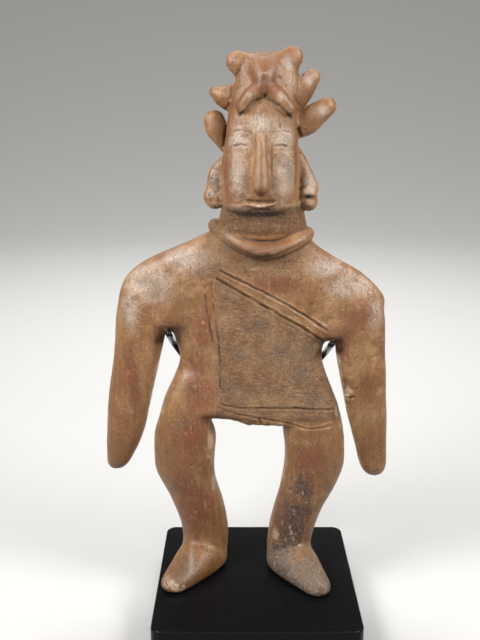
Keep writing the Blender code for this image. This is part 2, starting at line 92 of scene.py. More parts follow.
class ClaySizes(PropertyGroup):
    """How finely the clay is modelled, and the tools that mark it."""

    body_grain: number("Body grain", "Cells in which the large lumps are fused, in millimetres",
                       0.8, 0.4, 2.0)
    grain: number("Grain", "Cells in which the finished clay is fused, in millimetres", 0.43, 0.3, 2.0)
    body_rub: number("Body rub", "How far the large lumps are rubbed together, in millimetres",
                     1.65, 0.2, 4.0)
    rub: number("Rub", "How far the small lumps are rubbed in, in millimetres", 0.62, 0.1, 4.0)
    point_width: number("Point width", "Width of the garment's scored lines, in millimetres",
                        1.2, 0.2, 4.0)
    point_depth: number("Point depth", "Depth of the garment's scored lines, in millimetres",
                        0.95, 0.0, 3.0)
    ear_hole: number("Ear hole", "Diameter of the two holes in the ear, in millimetres", 1.9, 0.5, 4.0)
    triangles: IntProperty(name="Triangles", description="How many triangles the finished clay keeps",
                           default=190000, min=20000, max=199000)


class ClayColours(PropertyGroup):
    """Linear colours of the fired clay, some of which also paint light and shade on it."""

    buff: tint("Buff", "The pale body of the clay", (0.222, 0.119, 0.050))
    tan: tint("Tan", "The warmer, burnished clay", (0.162, 0.072, 0.024))
    # Also painted shade: this tint darkens the neck under the face.
    ochre_and_shade: tint("Ochre", "Deep warm brown of the arms and legs", (0.122, 0.047, 0.013))
    # Partly painted highlight: besides the face's pale clay it paints the sheen on the shoulders, the
    # cheeks, the forelegs and one foot.
    bloom_and_sheen: tint("Bloom", "Pale lilac bloom on the face and the shoulders", (0.272, 0.216, 0.172))
    # Also painted shade: this red-brown darkens the hollows beside the gaps under the arms.
    slip: tint("Slip", "Remains of red-brown slip", (0.122, 0.036, 0.014))
    smoke: tint("Smoke", "Grey-olive firing clouds", (0.092, 0.069, 0.044))
    # Also painted shadow: under the chin this brown stands for the chin's shadow.
    soot_and_shadow: tint("Soot", "Dark brown of one shin and under the chin", (0.036, 0.019, 0.012))
    film: tint("Film", "Grey film under the crust", (0.090, 0.075, 0.060))
    crust: tint("Crust", "Pale mineral crust", (0.300, 0.272, 0.235))
    # Also painted light: this pale colour lights the walls of the gaps under the arms and the legs' inner
    # edges.
    worn_and_lit: tint("Worn", "Bare clay on worn edges and chips", (0.370, 0.265, 0.180))
    # Also painted shade: this colour fills the hollows, the scored lines and the shadow spots in the gaps
    # under the arms, beside the jaw, under the nose and under the hem.
    soil_and_shade: tint("Soil", "Dark soil left in the hollows", (0.024, 0.013, 0.008))


class StandSizes(PropertyGroup):
    """Sizes of the stand that the solids' boxes don't give, and its colours."""

    corner: metres("Corner", "Radius of the plate's upright corners", 0.0055, 0.0005, 0.02)
    arris: metres("Arris", "Radius of the plate's rounded edges", 0.0008, 0.0001, 0.004)
    rod: metres("Rod", "Diameter of the rods", 0.0032, 0.001, 0.01)
    bend: metres("Bend", "Radius of the rods' bends", 0.008, 0.003, 0.03)
    clearance: metres("Clearance", "Gap between a rod and its socket", 0.0003, 0.0001, 0.002)
    rise: angle("Rise", "How steeply the rods' ends rise", 24.5, 1.2)
    black: tint("Black", "The plate and the rods", (0.0030, 0.0030, 0.0036))
    dust: tint("Dust", "Specks of dust on the plate", (0.16, 0.16, 0.16))
    bare: tint("Bare", "Rubbed spots on the rods", (0.045, 0.044, 0.046))


class StudioSettings(PropertyGroup):
    """The camera, the lights and the floor."""

    lens: number("Lens", "Focal length for a 36 mm long side, in millimetres", 46.35, 10.0, 200.0)
    tilt: angle("Tilt", "How far the camera looks down", 14.3, 1.5)
    key: number("Key", "Power of the soft light at the left, in watts", 4.2, 0.0, 500.0)
    sky: number("Sky", "Strength of the even light all round", 0.24, 0.0, 10.0)
    sky_tint: tint("Sky tint", "Colour of the even light", (1.0, 0.985, 0.96))
    paper: tint("Paper", "The floor and its sweep", (0.40, 0.395, 0.385))


# Shapes carried along paths

def unit(rows):
    """Each row of an array, made one long."""
    return rows / np.linalg.norm(rows, axis=-1, keepdims=True)


def turns(count):
    """Angles evenly round a circle."""
    return np.linspace(0.0, 2 * math.pi, count, endpoint=False)


def through(stations, per_span=6):
    """A smooth curve through rows of numbers.

    Each span is the cubic whose slope at a station is half the step between its two neighbours.
    """
    rows = np.array(stations, dtype=float)
    padded = np.vstack([2 * rows[0] - rows[1], rows, 2 * rows[-1] - rows[-2]])
    step = np.linspace(0.0, 1.0, per_span, endpoint=False)[None, :, None]
    a, b, c, d = (padded[shift:len(rows) - 1 + shift, None] for shift in range(4))
    curve = b + 0.5 * step * (c - a)
    curve = curve + step ** 2 * (a - 2.5 * b + 2.0 * c - 0.5 * d)
    curve = curve + step ** 3 * (1.5 * (b - c) + 0.5 * (d - a))
    return np.vstack([curve.reshape(-1, rows.shape[1]), rows[-1:]])


def domed(centres, across, deep, ends):
    """Rings past both ends, each the cosine of an angle as wide and its sine as far out."""
    angles = np.radians([25.0, 50.0, 70.0, 86.0])
    for end, inner, length in ((0, 1, ends[0]), (-1, -2, ends[1])):
        outward = unit(centres[end] - centres[inner])
        order = angles[::-1] if end == 0 else angles
        extra = centres[end] + np.sin(order)[:, None] * length * outward
        wide = np.cos(order)[:, None] * across[end]
        thick = np.cos(order)[:, None] * deep[end]
        pairs = [(extra, centres), (wide, across), (thick, deep)]
        if end == -1:
            pairs = [(old, new) for new, old in pairs]
        centres, across, deep = (np.vstack(pair) for pair in pairs)
    return centres, across, deep


def rings(centres, across, deep, sides=40, squareness=2.35):
    """Rounded-square rings: centre + cos' t x across + sin' t x deep.

    cos' and sin' keep the sign of the cosine and sine and raise their size to 2 / squareness.
    """
    turn = turns(sides)
    power = 2.0 / squareness
    wide = np.sign(np.cos(turn)) * np.abs(np.cos(turn)) ** power
    thick = np.sign(np.sin(turn)) * np.abs(np.sin(turn)) ** power
    return (centres[:, None] + wide[None, :, None] * across[:, None]
            + thick[None, :, None] * deep[:, None])


def skin(grid, closed=False):
    """The points of a grid of rings, and the faces between them, with a cap at each open end."""
    rows, sides = grid.shape[:2]
    index = np.arange(rows * sides).reshape(rows, sides)
    onward = np.roll(index, -1, axis=0) if closed else index[1:]
    here = index if closed else index[:-1]
    quads = np.stack([here, np.roll(here, -1, axis=1), np.roll(onward, -1, axis=1), onward], axis=-1)
    faces = quads.reshape(-1, 4).tolist()
    if not closed:
        faces += [index[0][::-1].tolist(), index[-1].tolist()]
    return grid.reshape(-1, 3), faces


def slab(levels, ends=(3.0, 3.0), squareness=2.35):
    """A flat lump from level sections: height, left edge, right edge, half depth, and how far its
    middle lies behind the plane."""
    rows = np.array(levels)
    rows[:, 4] += PLANE
    height, left, right, half_depth, middle = through(rows).T
    centres = np.stack([(left + right) / 2, middle, height], axis=1)
    across = np.zeros_like(centres)
    across[:, 0] = (right - left) / 2
    deep = np.zeros_like(centres)
    deep[:, 1] = half_depth
    return skin(rings(*domed(centres, across, deep, ends), squareness=squareness))


def finger(stations, ends=None, squareness=2.0):
    """A lump along a path: x, y, z, half width across the view, half depth front to back.

    The width lies square to the path and to the line of sight, the depth square to both.
    """
    path = through(stations)
    centres = path[:, :3]
    along = unit(np.gradient(centres, axis=0))
    wide = unit(np.cross(along, np.array([0.0, 1.0, 0.0])))
    thick = np.cross(wide, along)
    if ends is None:
        ends = (path[0, 3], path[-1, 3])
    shape = domed(centres, wide * path[:, 3:4], thick * path[:, 4:5], ends)
    return skin(rings(*shape, squareness=squareness))


def foot(heel, toe):
    """Sections carried from heel to toe, with all that would lie below the ground pressed flat on it.

    A section's middle is 0.32 of its height up, and it reaches 0.68 of its height above and below that.
    """
    share = np.array([0.0, 0.35, 0.7, 1.0])
    widths = (12.0, 11.4, 9.6, 7.8)
    heights = (15.0, 15.5, 11.6, 8.6)
    track = np.array(heel)[None] + share[:, None] * (np.array(toe) - np.array(heel))[None]
    path = through(np.column_stack([track, widths, heights]))
    along = unit(path[-1, :2] - path[0, :2])
    across = np.array([-along[1], along[0], 0.0]) * path[:, 2:3]
    centres = np.column_stack([path[:, :2], 0.32 * path[:, 3]])
    deep = np.zeros_like(centres)
    deep[:, 2] = 0.68 * path[:, 3]
    grid = rings(*domed(centres, across, deep, (path[0, 2], path[-1, 2])), squareness=2.2)
    grid[..., 2] = np.maximum(grid[..., 2], 0.0)
    return skin(grid)


def collar(roll=3.5):
    """A round roll carried once round the neck, lowest in front.

    Centre line: x = 2 + 22.6 cos t, y = plane + 12.8 sin t, and z falls in front by a power of sin t,
    behind in step with it, and towards the right by 2 cos t.
    """
    turn = turns(120)
    front = np.clip(-np.sin(turn), 0.0, 1.0)
    behind = np.clip(np.sin(turn), 0.0, 1.0)
    centres = np.column_stack([
        2.0 + 22.6 * np.cos(turn),
        PLANE + 12.8 * np.sin(turn),
        180.7 - 8.4 * front ** 2.2 - 2.5 * behind - 2.0 * np.cos(turn),
    ])
    along = unit(np.roll(centres, -1, axis=0) - np.roll(centres, 1, axis=0))
    outward = np.column_stack([np.cos(turn), np.sin(turn), np.zeros_like(turn)])
    upward = unit(np.cross(along, outward))
    return skin(rings(centres, outward * roll, upward * roll, sides=20, squareness=2.0), closed=True)


# The lumps of the figure

def trunk_lumps():
    """Chest and hips, the shoulders' yoke, the hem's roll, and the clay over the gaps under the arms."""
    return [
        slab([
            (88.0, -47.5, 41.5, 10.8, 0.0), (97.0, -46.0, 39.8, 10.8, 0.0),
            (104.0, -43.0, 37.2, 10.5, 0.0), (114.0, -39.2, 33.8, 10.0, 0.0),
            (122.0, -40.2, 34.0, 10.0, 0.0), (136.0, -44.0, 38.0, 9.8, 0.0),
            (150.0, -42.0, 36.0, 8.6, 0.0),
        ], ends=(5.0, 6.0)),
        slab([
            (132.5, -70.0, 63.8, 7.6, 0.0), (140.0, -70.0, 64.2, 9.0, 0.0),
            (147.0, -69.2, 64.0, 9.7, 0.0), (154.0, -67.2, 58.6, 10.0, 0.0),
            (160.5, -62.4, 50.6, 10.2, 0.0), (167.0, -52.4, 39.0, 10.4, 0.0),
            (173.6, -37.0, 29.0, 10.6, 0.0), (180.5, -22.0, 23.5, 10.8, 0.0),
        ], ends=(3.0, 2.0)),
        finger([
            (-38.0, PLANE, 89.6, 4.6, 10.0), (-24.0, PLANE, 88.8, 4.6, 10.7),
            (-12.0, PLANE, 87.8, 4.6, 10.8), (-3.0, PLANE, 85.2, 4.6, 10.8),
            (16.0, PLANE, 85.0, 4.6, 10.8), (34.0, PLANE, 85.6, 4.6, 10.0),
        ], squareness=2.35),
        finger([
            (-52.0, PLANE, 136.4, 6.0, 8.4), (-43.6, PLANE, 135.6, 5.8, 8.4),
            (-35.0, PLANE, 136.4, 6.0, 8.4),
        ], squareness=2.2),
        finger([
            (27.0, PLANE, 133.0, 8.0, 9.4), (37.2, PLANE, 131.4, 7.2, 8.8),
            (48.0, PLANE, 133.0, 8.0, 8.8),
        ], squareness=2.2),
    ]


def limb_lumps():
    """Two arms ending in plain stumps, two bowed legs, and two feet that turn out."""
    return [
        slab([
            (152.0, -67.0, -42.0, 7.4, 0.0), (140.0, -70.2, -44.5, 8.8, 0.0),
            (128.0, -71.5, -46.0, 9.1, 0.0), (114.0, -73.0, -49.2, 9.0, -0.4),
            (98.0, -75.5, -53.0, 8.8, -0.8), (83.0, -76.8, -56.2, 8.6, -1.2),
            (71.0, -77.6, -60.0, 8.2, -1.6), (63.0, -77.6, -64.0, 7.2, -1.8),
        ], ends=(3.0, 8.0), squareness=2.2),
        slab([
            (150.0, 38.0, 61.0, 7.4, 0.0), (138.0, 39.6, 64.4, 8.8, 0.0),
            (124.0, 39.6, 65.0, 9.1, 0.0), (114.0, 40.6, 65.6, 9.0, -0.4),
            (98.0, 44.0, 66.6, 8.8, -0.8), (85.0, 46.8, 67.4, 8.6, -1.2),
            (72.0, 50.4, 67.8, 8.2, -1.6), (60.0, 53.6, 68.2, 7.4, -2.0),
        ], ends=(3.0, 8.5), squareness=2.2),
        slab([
            (108.0, -40.5, -24.0, 8.6, 0.0), (95.0, -46.8, -26.0, 10.8, 0.0),
            (83.0, -50.4, -23.6, 11.7, 0.0), (74.0, -52.8, -20.8, 12.3, 0.0),
            (57.0, -53.0, -21.8, 12.2, 0.0), (48.0, -49.6, -20.8, 11.6, 0.4),
            (37.0, -44.6, -17.4, 10.8, 0.8), (25.0, -40.6, -15.0, 10.0, 1.0),
            (14.0, -39.0, -14.4, 9.8, 0.6), (6.0, -40.0, -15.5, 9.6, 0.0),
        ], ends=(3.0, 5.0), squareness=2.15),
        slab([
            (106.0, 16.0, 35.0, 8.6, 0.0), (93.0, 14.6, 41.4, 10.8, 0.0),
            (79.0, 13.6, 45.0, 11.8, 0.0), (66.0, 15.0, 46.2, 12.4, 0.0),
            (57.0, 14.6, 46.0, 12.2, 0.0), (47.0, 13.0, 42.4, 11.6, -0.6),
            (36.0, 10.0, 36.2, 10.8, -1.8), (25.0, 7.2, 31.8, 10.0, -2.8),
            (14.0, 6.0, 29.4, 9.8, -3.4), (6.0, 6.4, 29.8, 9.6, -3.8),
        ], ends=(3.0, 5.0), squareness=2.15),
        foot((-26.8, 12.0), (-41.6, -12.6)),
        foot((17.6, 8.4), (30.6, -16.0)),
    ]


def head_lumps():
    """Neck, face plate, the headdress's block, its two ears and the broad dome between them."""
    return [
        slab([
            (170.0, -25.0, 27.0, 10.4, 0.0), (178.0, -21.5, 25.4, 11.2, 0.0),
            (188.0, -18.2, 23.2, 11.6, 0.0), (200.0, -15.4, 20.4, 9.4, 0.0),
        ]),
        slab([
            (192.0, -15.3, 17.6, 10.6, -5.4), (196.0, -17.2, 19.5, 12.6, -4.2),
            (206.0, -17.4, 19.8, 13.4, -3.2), (220.0, -15.8, 19.2, 13.2, -2.4),
            (236.0, -13.8, 18.4, 12.4, -1.4), (246.0, -12.2, 18.0, 11.0, 0.0),
        ], ends=(3.2, 4.0), squareness=2.9),
        slab([
            (228.0, -11.0, 16.0, 8.0, -1.4), (237.0, -13.4, 19.6, 10.8, -1.0),
            (244.0, -12.4, 20.4, 11.4, -1.2), (252.0, -10.4, 19.6, 10.0, -1.2),
            (258.5, -8.6, 17.6, 8.0, -0.8),
        ], ends=(3.0, 5.2), squareness=2.2),
        finger([(-1.5, 8.5, 255.5, 6.4, 4.6), (-6.8, 9.0, 257.4, 6.2, 4.4), (-9.8, 9.0, 258.6, 5.7, 3.9)]),
        finger([(8.0, 8.5, 256.0, 6.4, 4.6), (12.6, 9.0, 258.8, 6.1, 4.4), (15.6, 9.0, 260.9, 5.8, 3.9)]),
        finger([(2.6, 5.4, 257.2, 7.2, 5.0), (2.6, 3.0, 254.8, 6.6, 4.8), (2.5, 0.4, 251.0, 4.8, 4.0),
                (2.6, -0.4, 247.4, 3.4, 3.2)], ends=(4.6, 3.4)),
    ]


def small_lumps():
    """What the modeller added last: nose, lower lip, ears, forelegs, four blunt horns, and the collar."""
    back = PLANE - 1.0
    horn = PLANE - 1.6
    return [
        finger([
            (1.2, -0.2, 235.0, 2.3, 2.4), (1.2, -2.0, 226.0, 2.7, 2.8),
            (1.2, -4.0, 214.0, 3.2, 3.4), (1.2, -5.6, 206.0, 3.9, 4.0),
            (1.2, -6.2, 202.4, 4.2, 4.3),
        ], ends=(3.0, 3.0)),
        finger([(-5.8, -4.2, 194.9, 0.6, 0.7), (1.2, -5.2, 194.3, 1.3, 1.5),
                (8.2, -4.2, 194.9, 0.6, 0.7)]),
        finger([(-16.0, back, 214.0, 2.4, 3.0), (-19.2, back, 208.0, 4.1, 3.2),
                (-21.2, back, 200.5, 3.6, 3.2)]),
        finger([(-21.4, back - 1.2, 197.0, 4.7, 3.4), (-20.2, back - 1.2, 195.7, 4.9, 3.4)]),
        finger([(19.0, back, 218.0, 2.0, 3.0), (21.8, back, 209.5, 3.8, 3.4),
                (24.6, back, 201.0, 5.0, 3.8)]),
        finger([(24.4, back - 4.0, 198.6, 4.2, 3.2), (24.8, back - 1.2, 194.0, 4.4, 3.6)]),
        finger([(0.3, 0.8, 247.1, 2.8, 3.6), (-3.6, 0.2, 243.6, 3.3, 4.0), (-6.9, 0.6, 238.9, 3.1, 3.8)]),
        finger([(5.6, 0.8, 247.1, 2.8, 3.6), (9.8, 0.2, 243.0, 3.3, 4.0), (13.9, 0.6, 238.0, 3.1, 3.8)]),
        finger([(-7.5, horn, 242.0, 6.8, 4.8), (-13.5, horn, 242.9, 6.0, 4.4),
                (-17.6, horn, 244.2, 4.6, 4.0), (-20.0, horn, 245.6, 2.9, 3.2)]),
        finger([(-16.2, horn, 219.4, 1.6, 2.6), (-18.0, horn, 223.6, 3.1, 3.6),
                (-19.4, horn, 228.2, 5.1, 4.2), (-20.5, horn, 232.5, 5.0, 3.9)]),
        finger([(15.5, horn, 241.5, 6.8, 4.8), (20.4, horn, 246.4, 5.8, 4.4),
                (25.2, horn, 252.0, 4.0, 3.8)]),
        finger([(14.0, horn, 229.2, 6.0, 4.8), (22.4, horn, 231.5, 6.2, 4.8),
                (27.6, horn, 235.4, 5.5, 4.4), (32.6, horn, 238.8, 4.4, 4.0)]),
        collar(),
    ]


# Meshes and arrays

def link(name, mesh):
    """One new object in the scene, at the origin."""
    made = bpy.data.objects.new(name, mesh)
    bpy.context.scene.collection.objects.link(made)
    return made


def joined(name, parts):
    """One mesh from several sets of points and faces."""
    points, faces = [], []
    for own, own_faces in parts:
        start = sum(len(part) for part in points)
        points.append(own)
        faces += [[corner + start for corner in face] for face in own_faces]
    mesh = bpy.data.meshes.new(name)
    mesh.from_pydata(np.vstack(points).tolist(), [], faces)
    mesh.update()
    return mesh


def worked_out(holder):
    """The object's mesh with its modifiers applied. The object and its old mesh are removed."""
    bpy.context.view_layer.update()
    graph = bpy.context.evaluated_depsgraph_get()
    mesh = bpy.data.meshes.new_from_object(holder.evaluated_get(graph), depsgraph=graph)
    old = holder.data
    bpy.data.objects.remove(holder, do_unlink=True)
    bpy.data.meshes.remove(old)
    return mesh


def column(items, field, width, kind=np.float32):
    """One field of a mesh's points, edges or normals, as an array."""
    found = np.empty(len(items) * width, kind)
    items.foreach_get(field, found)
    return found.reshape(-1, width) if width > 1 else found


def places_of(mesh):
    """A mesh's points."""
    return column(mesh.vertices, "co", 3).astype(float)


def move_to(mesh, points):
    """Put a mesh's points at new places."""
    mesh.vertices.foreach_set("co", points.astype(np.float32).ravel())
    mesh.update()


def ramp(value, low, high):
    """0 below low, 1 above high, and the smooth curve 3t² - 2t³ between."""
    share = np.clip((value - low) / (high - low), 0.0, 1.0)
    return share * share * (3.0 - 2.0 * share)


def mottle(points, size, seed):
    """Smooth noise from -1 to 1: a random number at each corner of a cubic grid of that cell size.

    Between corners the eight numbers are mixed by the curve 3t² - 2t³ of the place in the cell. Each
    seed has its own numbers, and moves the grid by 3.7 cells.
    """
    side = 48
    table = np.random.default_rng(seed).uniform(-1.0, 1.0, (side, side, side))
    place = points / size + 3.7 * seed
    cell = np.floor(place).astype(int)
    share = place - cell
    share = share * share * (3.0 - 2.0 * share)
    total = np.zeros(len(points))
    for corner in np.ndindex(2, 2, 2):
        weight = np.prod(np.where(np.array(corner), share, 1.0 - share), axis=1)
        x, y, z = ((cell + corner) % side).T
        total += weight * table[x, y, z]
    return total


def rubbed(points, edges, passes):
    """Each pass moves each point halfway to the mean of its neighbours."""
    count = np.bincount(edges.ravel(), minlength=len(points))
    for _ in range(passes):
        mean = np.empty_like(points)
        for axis in range(3):
            first = np.bincount(edges[:, 0], points[edges[:, 1], axis], len(points))
            second = np.bincount(edges[:, 1], points[edges[:, 0], axis], len(points))
            mean[:, axis] = (first + second) / count
        points = points + 0.5 * (mean - points)
    return points


def spot(points, x, z, wide, high):
    """A soft spot in the front view: e to the minus squared distance, in half widths and heights."""
    across = (points[:, 0] - x) / wide
    upward = (points[:, 2] - z) / high
    return np.exp(-across ** 2 - upward ** 2)


def to_line(points, line):
    """Distance in the front view from each point to a line of short segments, and the nearest
    place's share of the way along it."""
    flat = points[:, [0, 2]]
    lengths = np.linalg.norm(np.diff(line, axis=0), axis=1)
    walked = np.concatenate([[0.0], np.cumsum(lengths)])
    best = np.full(len(flat), 1e9)
    share = np.zeros(len(flat))
    for start, end, length, before in zip(line[:-1], line[1:], lengths, walked):
        along = np.clip((flat - start) @ (end - start) / length ** 2, 0.0, 1.0)
        distance = np.linalg.norm(flat - start - along[:, None] * (end - start), axis=1)
        nearer = distance < best
        best[nearer] = distance[nearer]
        share[nearer] = (before + along[nearer] * length) / walked[-1]
    return best, share


def scored(points, places, width, depth, burr, fade=0.12):
    """Outward change along a line drawn with a point.

    Minus depth times a bell of the distance, plus a low burr one width to each side; both fade
    over the given share of the line at each end.
    """
    line = through(places, 5)
    change = np.zeros(len(points))
    reach = 3.0 * width
    low, high = line.min(0) - reach, line.max(0) + reach
    near = ((points[:, 0] > low[0]) & (points[:, 0] < high[0])
            & (points[:, 2] > low[1]) & (points[:, 2] < high[1]))
    distance, share = to_line(points[near], line)
    ends = ramp(np.minimum(share, 1.0 - share), -0.02, fade)
    groove = -np.exp(-(distance / (0.45 * width)) ** 2)
    lips = burr * np.exp(-((distance - width) / (0.45 * width)) ** 2)
    change[near] = depth * ends * (groove + lips)
    return change


# Scored lines by their x and z, and how deep those are that aren't at full depth
GARMENT_LINES = {
    "strap_upper": [(-18.4, 162.0), (7.9, 148.5), (22.2, 139.9), (35.0, 131.2)],
    "strap_lower": [(-19.6, 158.0), (-2.3, 147.7), (12.4, 138.9), (22.3, 133.3), (33.4, 125.8)],
    "seam_outer": [(-25.7, 154.4), (-25.0, 146.9), (-23.9, 137.4), (-21.8, 125.1)],
    "seam_inner": [(-22.3, 154.9), (-21.6, 146.9), (-20.5, 136.4), (-18.6, 121.0), (-18.7, 100.0)],
    "hem_upper": [(-18.6, 94.0), (-9.7, 92.0), (4.0, 91.6), (17.0, 91.5), (29.0, 91.0), (41.0, 90.1)],
    "hem_lower": [(-16.8, 90.4), (-10.2, 88.5), (2.4, 86.1), (14.6, 83.8), (25.8, 81.0), (39.4, 82.4)],
}
LINE_STRENGTH = {"seam_outer": 0.6, "seam_inner": 0.6, "hem_upper": 0.62, "hem_lower": 0.52}
COLLAR_EDGES = [
    [(-18.6, 180.2), (-11.0, 173.9), (-4.1, 170.8), (4.2, 169.6), (12.6, 171.7), (21.6, 175.8)],
    [(-15.2, 183.6), (-11.0, 179.8), (-4.1, 177.4), (2.8, 176.4), (9.7, 177.0), (17.6, 179.6)],
]

# Deep dots where the garment's lines begin: x, z and depth
LINE_DOTS = ((-18.2, 161.9, 0.9), (-19.4, 157.9, 0.8), (-22.3, 154.6, 0.5), (-25.6, 154.2, 0.3))

# Lines deeper than this keep all their triangles
DEEP_LINE = 0.05

# Creases of the headdress: places, width and depth
CREASES = [
    ([(-9.4, 234.0), (-6.0, 237.2), (-1.2, 241.2), (3.0, 242.9)], 1.1, 0.75),
    ([(3.0, 242.9), (7.4, 240.9), (12.0, 236.7), (16.6, 232.2)], 1.1, 0.75),
    ([(-10.4, 251.0), (-8.6, 255.4), (-6.0, 260.0)], 1.6, 0.55),
    ([(7.6, 262.4), (9.4, 259.4), (13.4, 255.0)], 1.8, 0.30),
    ([(16.2, 251.6), (15.9, 247.6), (16.6, 244.0)], 0.9, 0.40),
    ([(16.4, 244.4), (17.8, 241.6), (20.2, 238.2)], 0.9, 0.80),
    ([(18.8, 229.6), (19.4, 227.2), (20.6, 225.0)], 1.2, 0.80),
    ([(-14.4, 231.6), (-15.2, 225.6), (-16.6, 219.4)], 1.2, 0.80),
    ([(-11.9, 248.4), (-12.2, 245.4), (-13.0, 241.6)], 0.9, 0.60),
    ([(-13.0, 240.6), (-14.0, 238.6), (-16.0, 237.4)], 0.9, 0.50),
]

# Soft dents and bumps: height, x, z, half width and half height
PRESSED = [
    (-1.6, -47.6, 126.4, 2.4, 4.4), (-1.0, -39.4, 128.0, 1.6, 3.4), (-2.2, 40.6, 122.8, 2.6, 2.8),
    (-0.8, 34.2, 122.4, 1.6, 3.0), (-0.5, 4.5, 170.2, 1.1, 1.0), (0.3, 3.4, 172.6, 1.3, 1.0),
    (-1.0, -31.5, 110.5, 6.5, 5.0), (0.45, 2.3, 253.6, 1.3, 1.1), (-0.45, 2.7, 250.6, 1.3, 1.2),
    (1.1, 24.2, 196.4, 4.4, 3.0), (-3.6, 24.2, 196.4, 2.7, 1.5), (-1.3, 19.6, 190.6, 1.9, 1.9),
]

# Small losses: x, y, z, radius and depth
TOE_CHIPS = [
    (-45.6, -17.0, 6.4, 3.0, 0.7), (-40.2, -21.0, 4.0, 2.2, 0.6), (-36.4, -20.6, 3.0, 1.8, 0.5),
]
OTHER_CHIPS = [
    (-43.2, -19.6, 8.4, 2.4, 0.45), (32.5, -23.0, 2.6, 2.4, 0.6), (-72.0, 2.6, 58.0, 2.2, 0.5),
    (62.0, 3.0, 55.0, 2.4, 0.5), (-22.6, 8.0, 224.6, 1.5, 0.6), (-18.2, 8.0, 239.2, 1.5, 0.5),
    (-20.9, 9.0, 201.8, 1.3, 0.5), (-24.4, 8.0, 233.2, 0.9, 0.4), (28.6, 6.0, 252.6, 1.0, 0.3),
]

# The two holes in the ear: x and z, and how far the drill goes to each side of the plane
EAR_HOLES = ((-21.2, 206.2), (-22.6, 198.2))
DRILL_REACH = 9.0


def garment_relief(points, sizes):
    """The strap, the side seam and the hem, each a pair of scored lines that begin in a deep dot."""
    total = np.zeros(len(points))
    for name, places in GARMENT_LINES.items():
        depth = sizes.point_depth * LINE_STRENGTH.get(name, 1.0)
        total += scored(points, places, sizes.point_width, depth, burr=0.42, fade=0.06)
    for x, z, depth in LINE_DOTS:
        total -= depth * spot(points, x, z, 0.75, 0.75)
    return total


def face_lines(points):
    """Closed eyes under thin brows, set evenly about the nose, and the mouth's crease."""
    total = np.zeros(len(points))
    for side in (-1.0, 1.0):
        eye = FACE_MIDDLE + side * 9.4
        lid = [(eye - 3.0, 220.9), (eye, 221.6), (eye + 3.0, 220.9)]
        brow = [(eye - 4.4, 226.8), (eye, 228.0), (eye + 4.4, 226.8)]
        total += scored(points, lid, 1.0, 0.75, burr=0.15)
        total += scored(points, brow, 0.9, 0.34, burr=0.3)
    mouth = [(FACE_MIDDLE - 7.4, 196.3), (FACE_MIDDLE - 3.0, 196.2),
             (FACE_MIDDLE + 3.0, 196.2), (FACE_MIDDLE + 7.4, 196.3)]
    below = [(FACE_MIDDLE - 4.6, 192.3), (FACE_MIDDLE, 191.9), (FACE_MIDDLE + 4.6, 192.3)]
    total += scored(points, mouth, 1.2, 0.85, burr=0.1)
    return total + scored(points, below, 1.2, 0.40, burr=0.1)


def face_forms(points):
    """Soft forms: eyelids, hollows beside the nose, long cheeks, an upper lip, and an uneven chin."""
    total = np.zeros(len(points))
    for side in (-1.0, 1.0):
        total += 0.28 * spot(points, FACE_MIDDLE + side * 9.4, 222.8, 3.6, 1.7)
        total += 0.30 * spot(points, FACE_MIDDLE + side * 11.4, 208.0, 3.0, 11.0)
        total -= 0.35 * spot(points, FACE_MIDDLE + side * 5.6, 211.0, 2.2, 12.0)
        total -= 0.25 * spot(points, FACE_MIDDLE + side * 7.0, 225.0, 2.4, 2.0)
    total += 0.30 * spot(points, FACE_MIDDLE, 198.3, 5.0, 1.1)
    chin = ramp(points[:, 2], 200.0, 196.0) * ramp(points[:, 2], 188.0, 191.0)
    return total + chin * 0.20 * mottle(points, 1.6, 15)


def headdress_relief(points):
    """The snout's pit, the headdress's creases and the collar's two edges."""
    total = -1.5 * spot(points, 3.1, 243.5, 0.85, 0.8)
    for places, width, depth in CREASES:
        total += scored(points, places, width, depth, burr=0.08)
    for places in COLLAR_EDGES:
        total += scored(points, places, 1.4, 0.75, burr=0.0)
    return total


def hand_forms(points):
    """Dents and bumps, rough skin along one arm, and the hem's torn edge."""
    total = np.zeros(len(points))
    for height, *place in PRESSED:
        total += height * spot(points, *place)
    total += 0.40 * spot(points, 46.2, 101.0, 3.4, 12.0) * mottle(points, 1.5, 21)
    torn = ramp(points[:, 2], 86.5, 83.5) * ramp(points[:, 2], 74.0, 78.0)
    torn *= ramp(points[:, 0], -19.0, -15.0) * ramp(points[:, 0], 16.0, 12.0)
    total += torn * (0.60 * mottle(points, 3.2, 22) + 0.35 * mottle(points, 1.4, 23))
    return total


def scars(points):
    """A tear in the hem, a nick and a long scrape on the arm at the right."""
    total = scored(points, [(1.0, 86.2), (1.8, 84.2), (3.2, 81.2)], 1.2, 1.0, burr=0.3)
    total += scored(points, [(45.4, 95.6), (47.6, 96.2), (50.0, 97.6)], 1.1, 0.8, burr=0.3)
    return total + scored(points, [(44.4, 108.0), (46.2, 101.0), (47.4, 94.0)], 1.6, 0.3, burr=0.4)


def wavering(points):
    """The points moved a little at random, so that drawn lines waver as a hand does."""
    return points + 0.28 * np.stack([mottle(points, 4.0, seed) for seed in (11, 12, 13)], axis=1)


def drawn_lines(points, sizes):
    """Every line that was scored or pressed into the front."""
    hand = wavering(points)
    pressure = 0.85 + 0.55 * mottle(points, 2.4, 14)
    drawn = garment_relief(hand, sizes) + headdress_relief(hand) + scars(hand) + face_lines(hand)
    return pressure * drawn


def chip_relief(points):
    """Small losses at toes, hands, ear and horns, each a ragged dent with a rough floor."""
    total = np.zeros(len(points))
    floor = 0.7 + 0.6 * mottle(points, 1.0, 31)
    edge = 0.9 * mottle(points, 1.8, 32)
    for x, y, z, radius, depth in TOE_CHIPS + OTHER_CHIPS:
        distance = np.linalg.norm(points - np.array([x, y, z]), axis=1) + edge
        total -= depth * floor * ramp(distance, radius * 1.05, radius * 0.75)
    return total


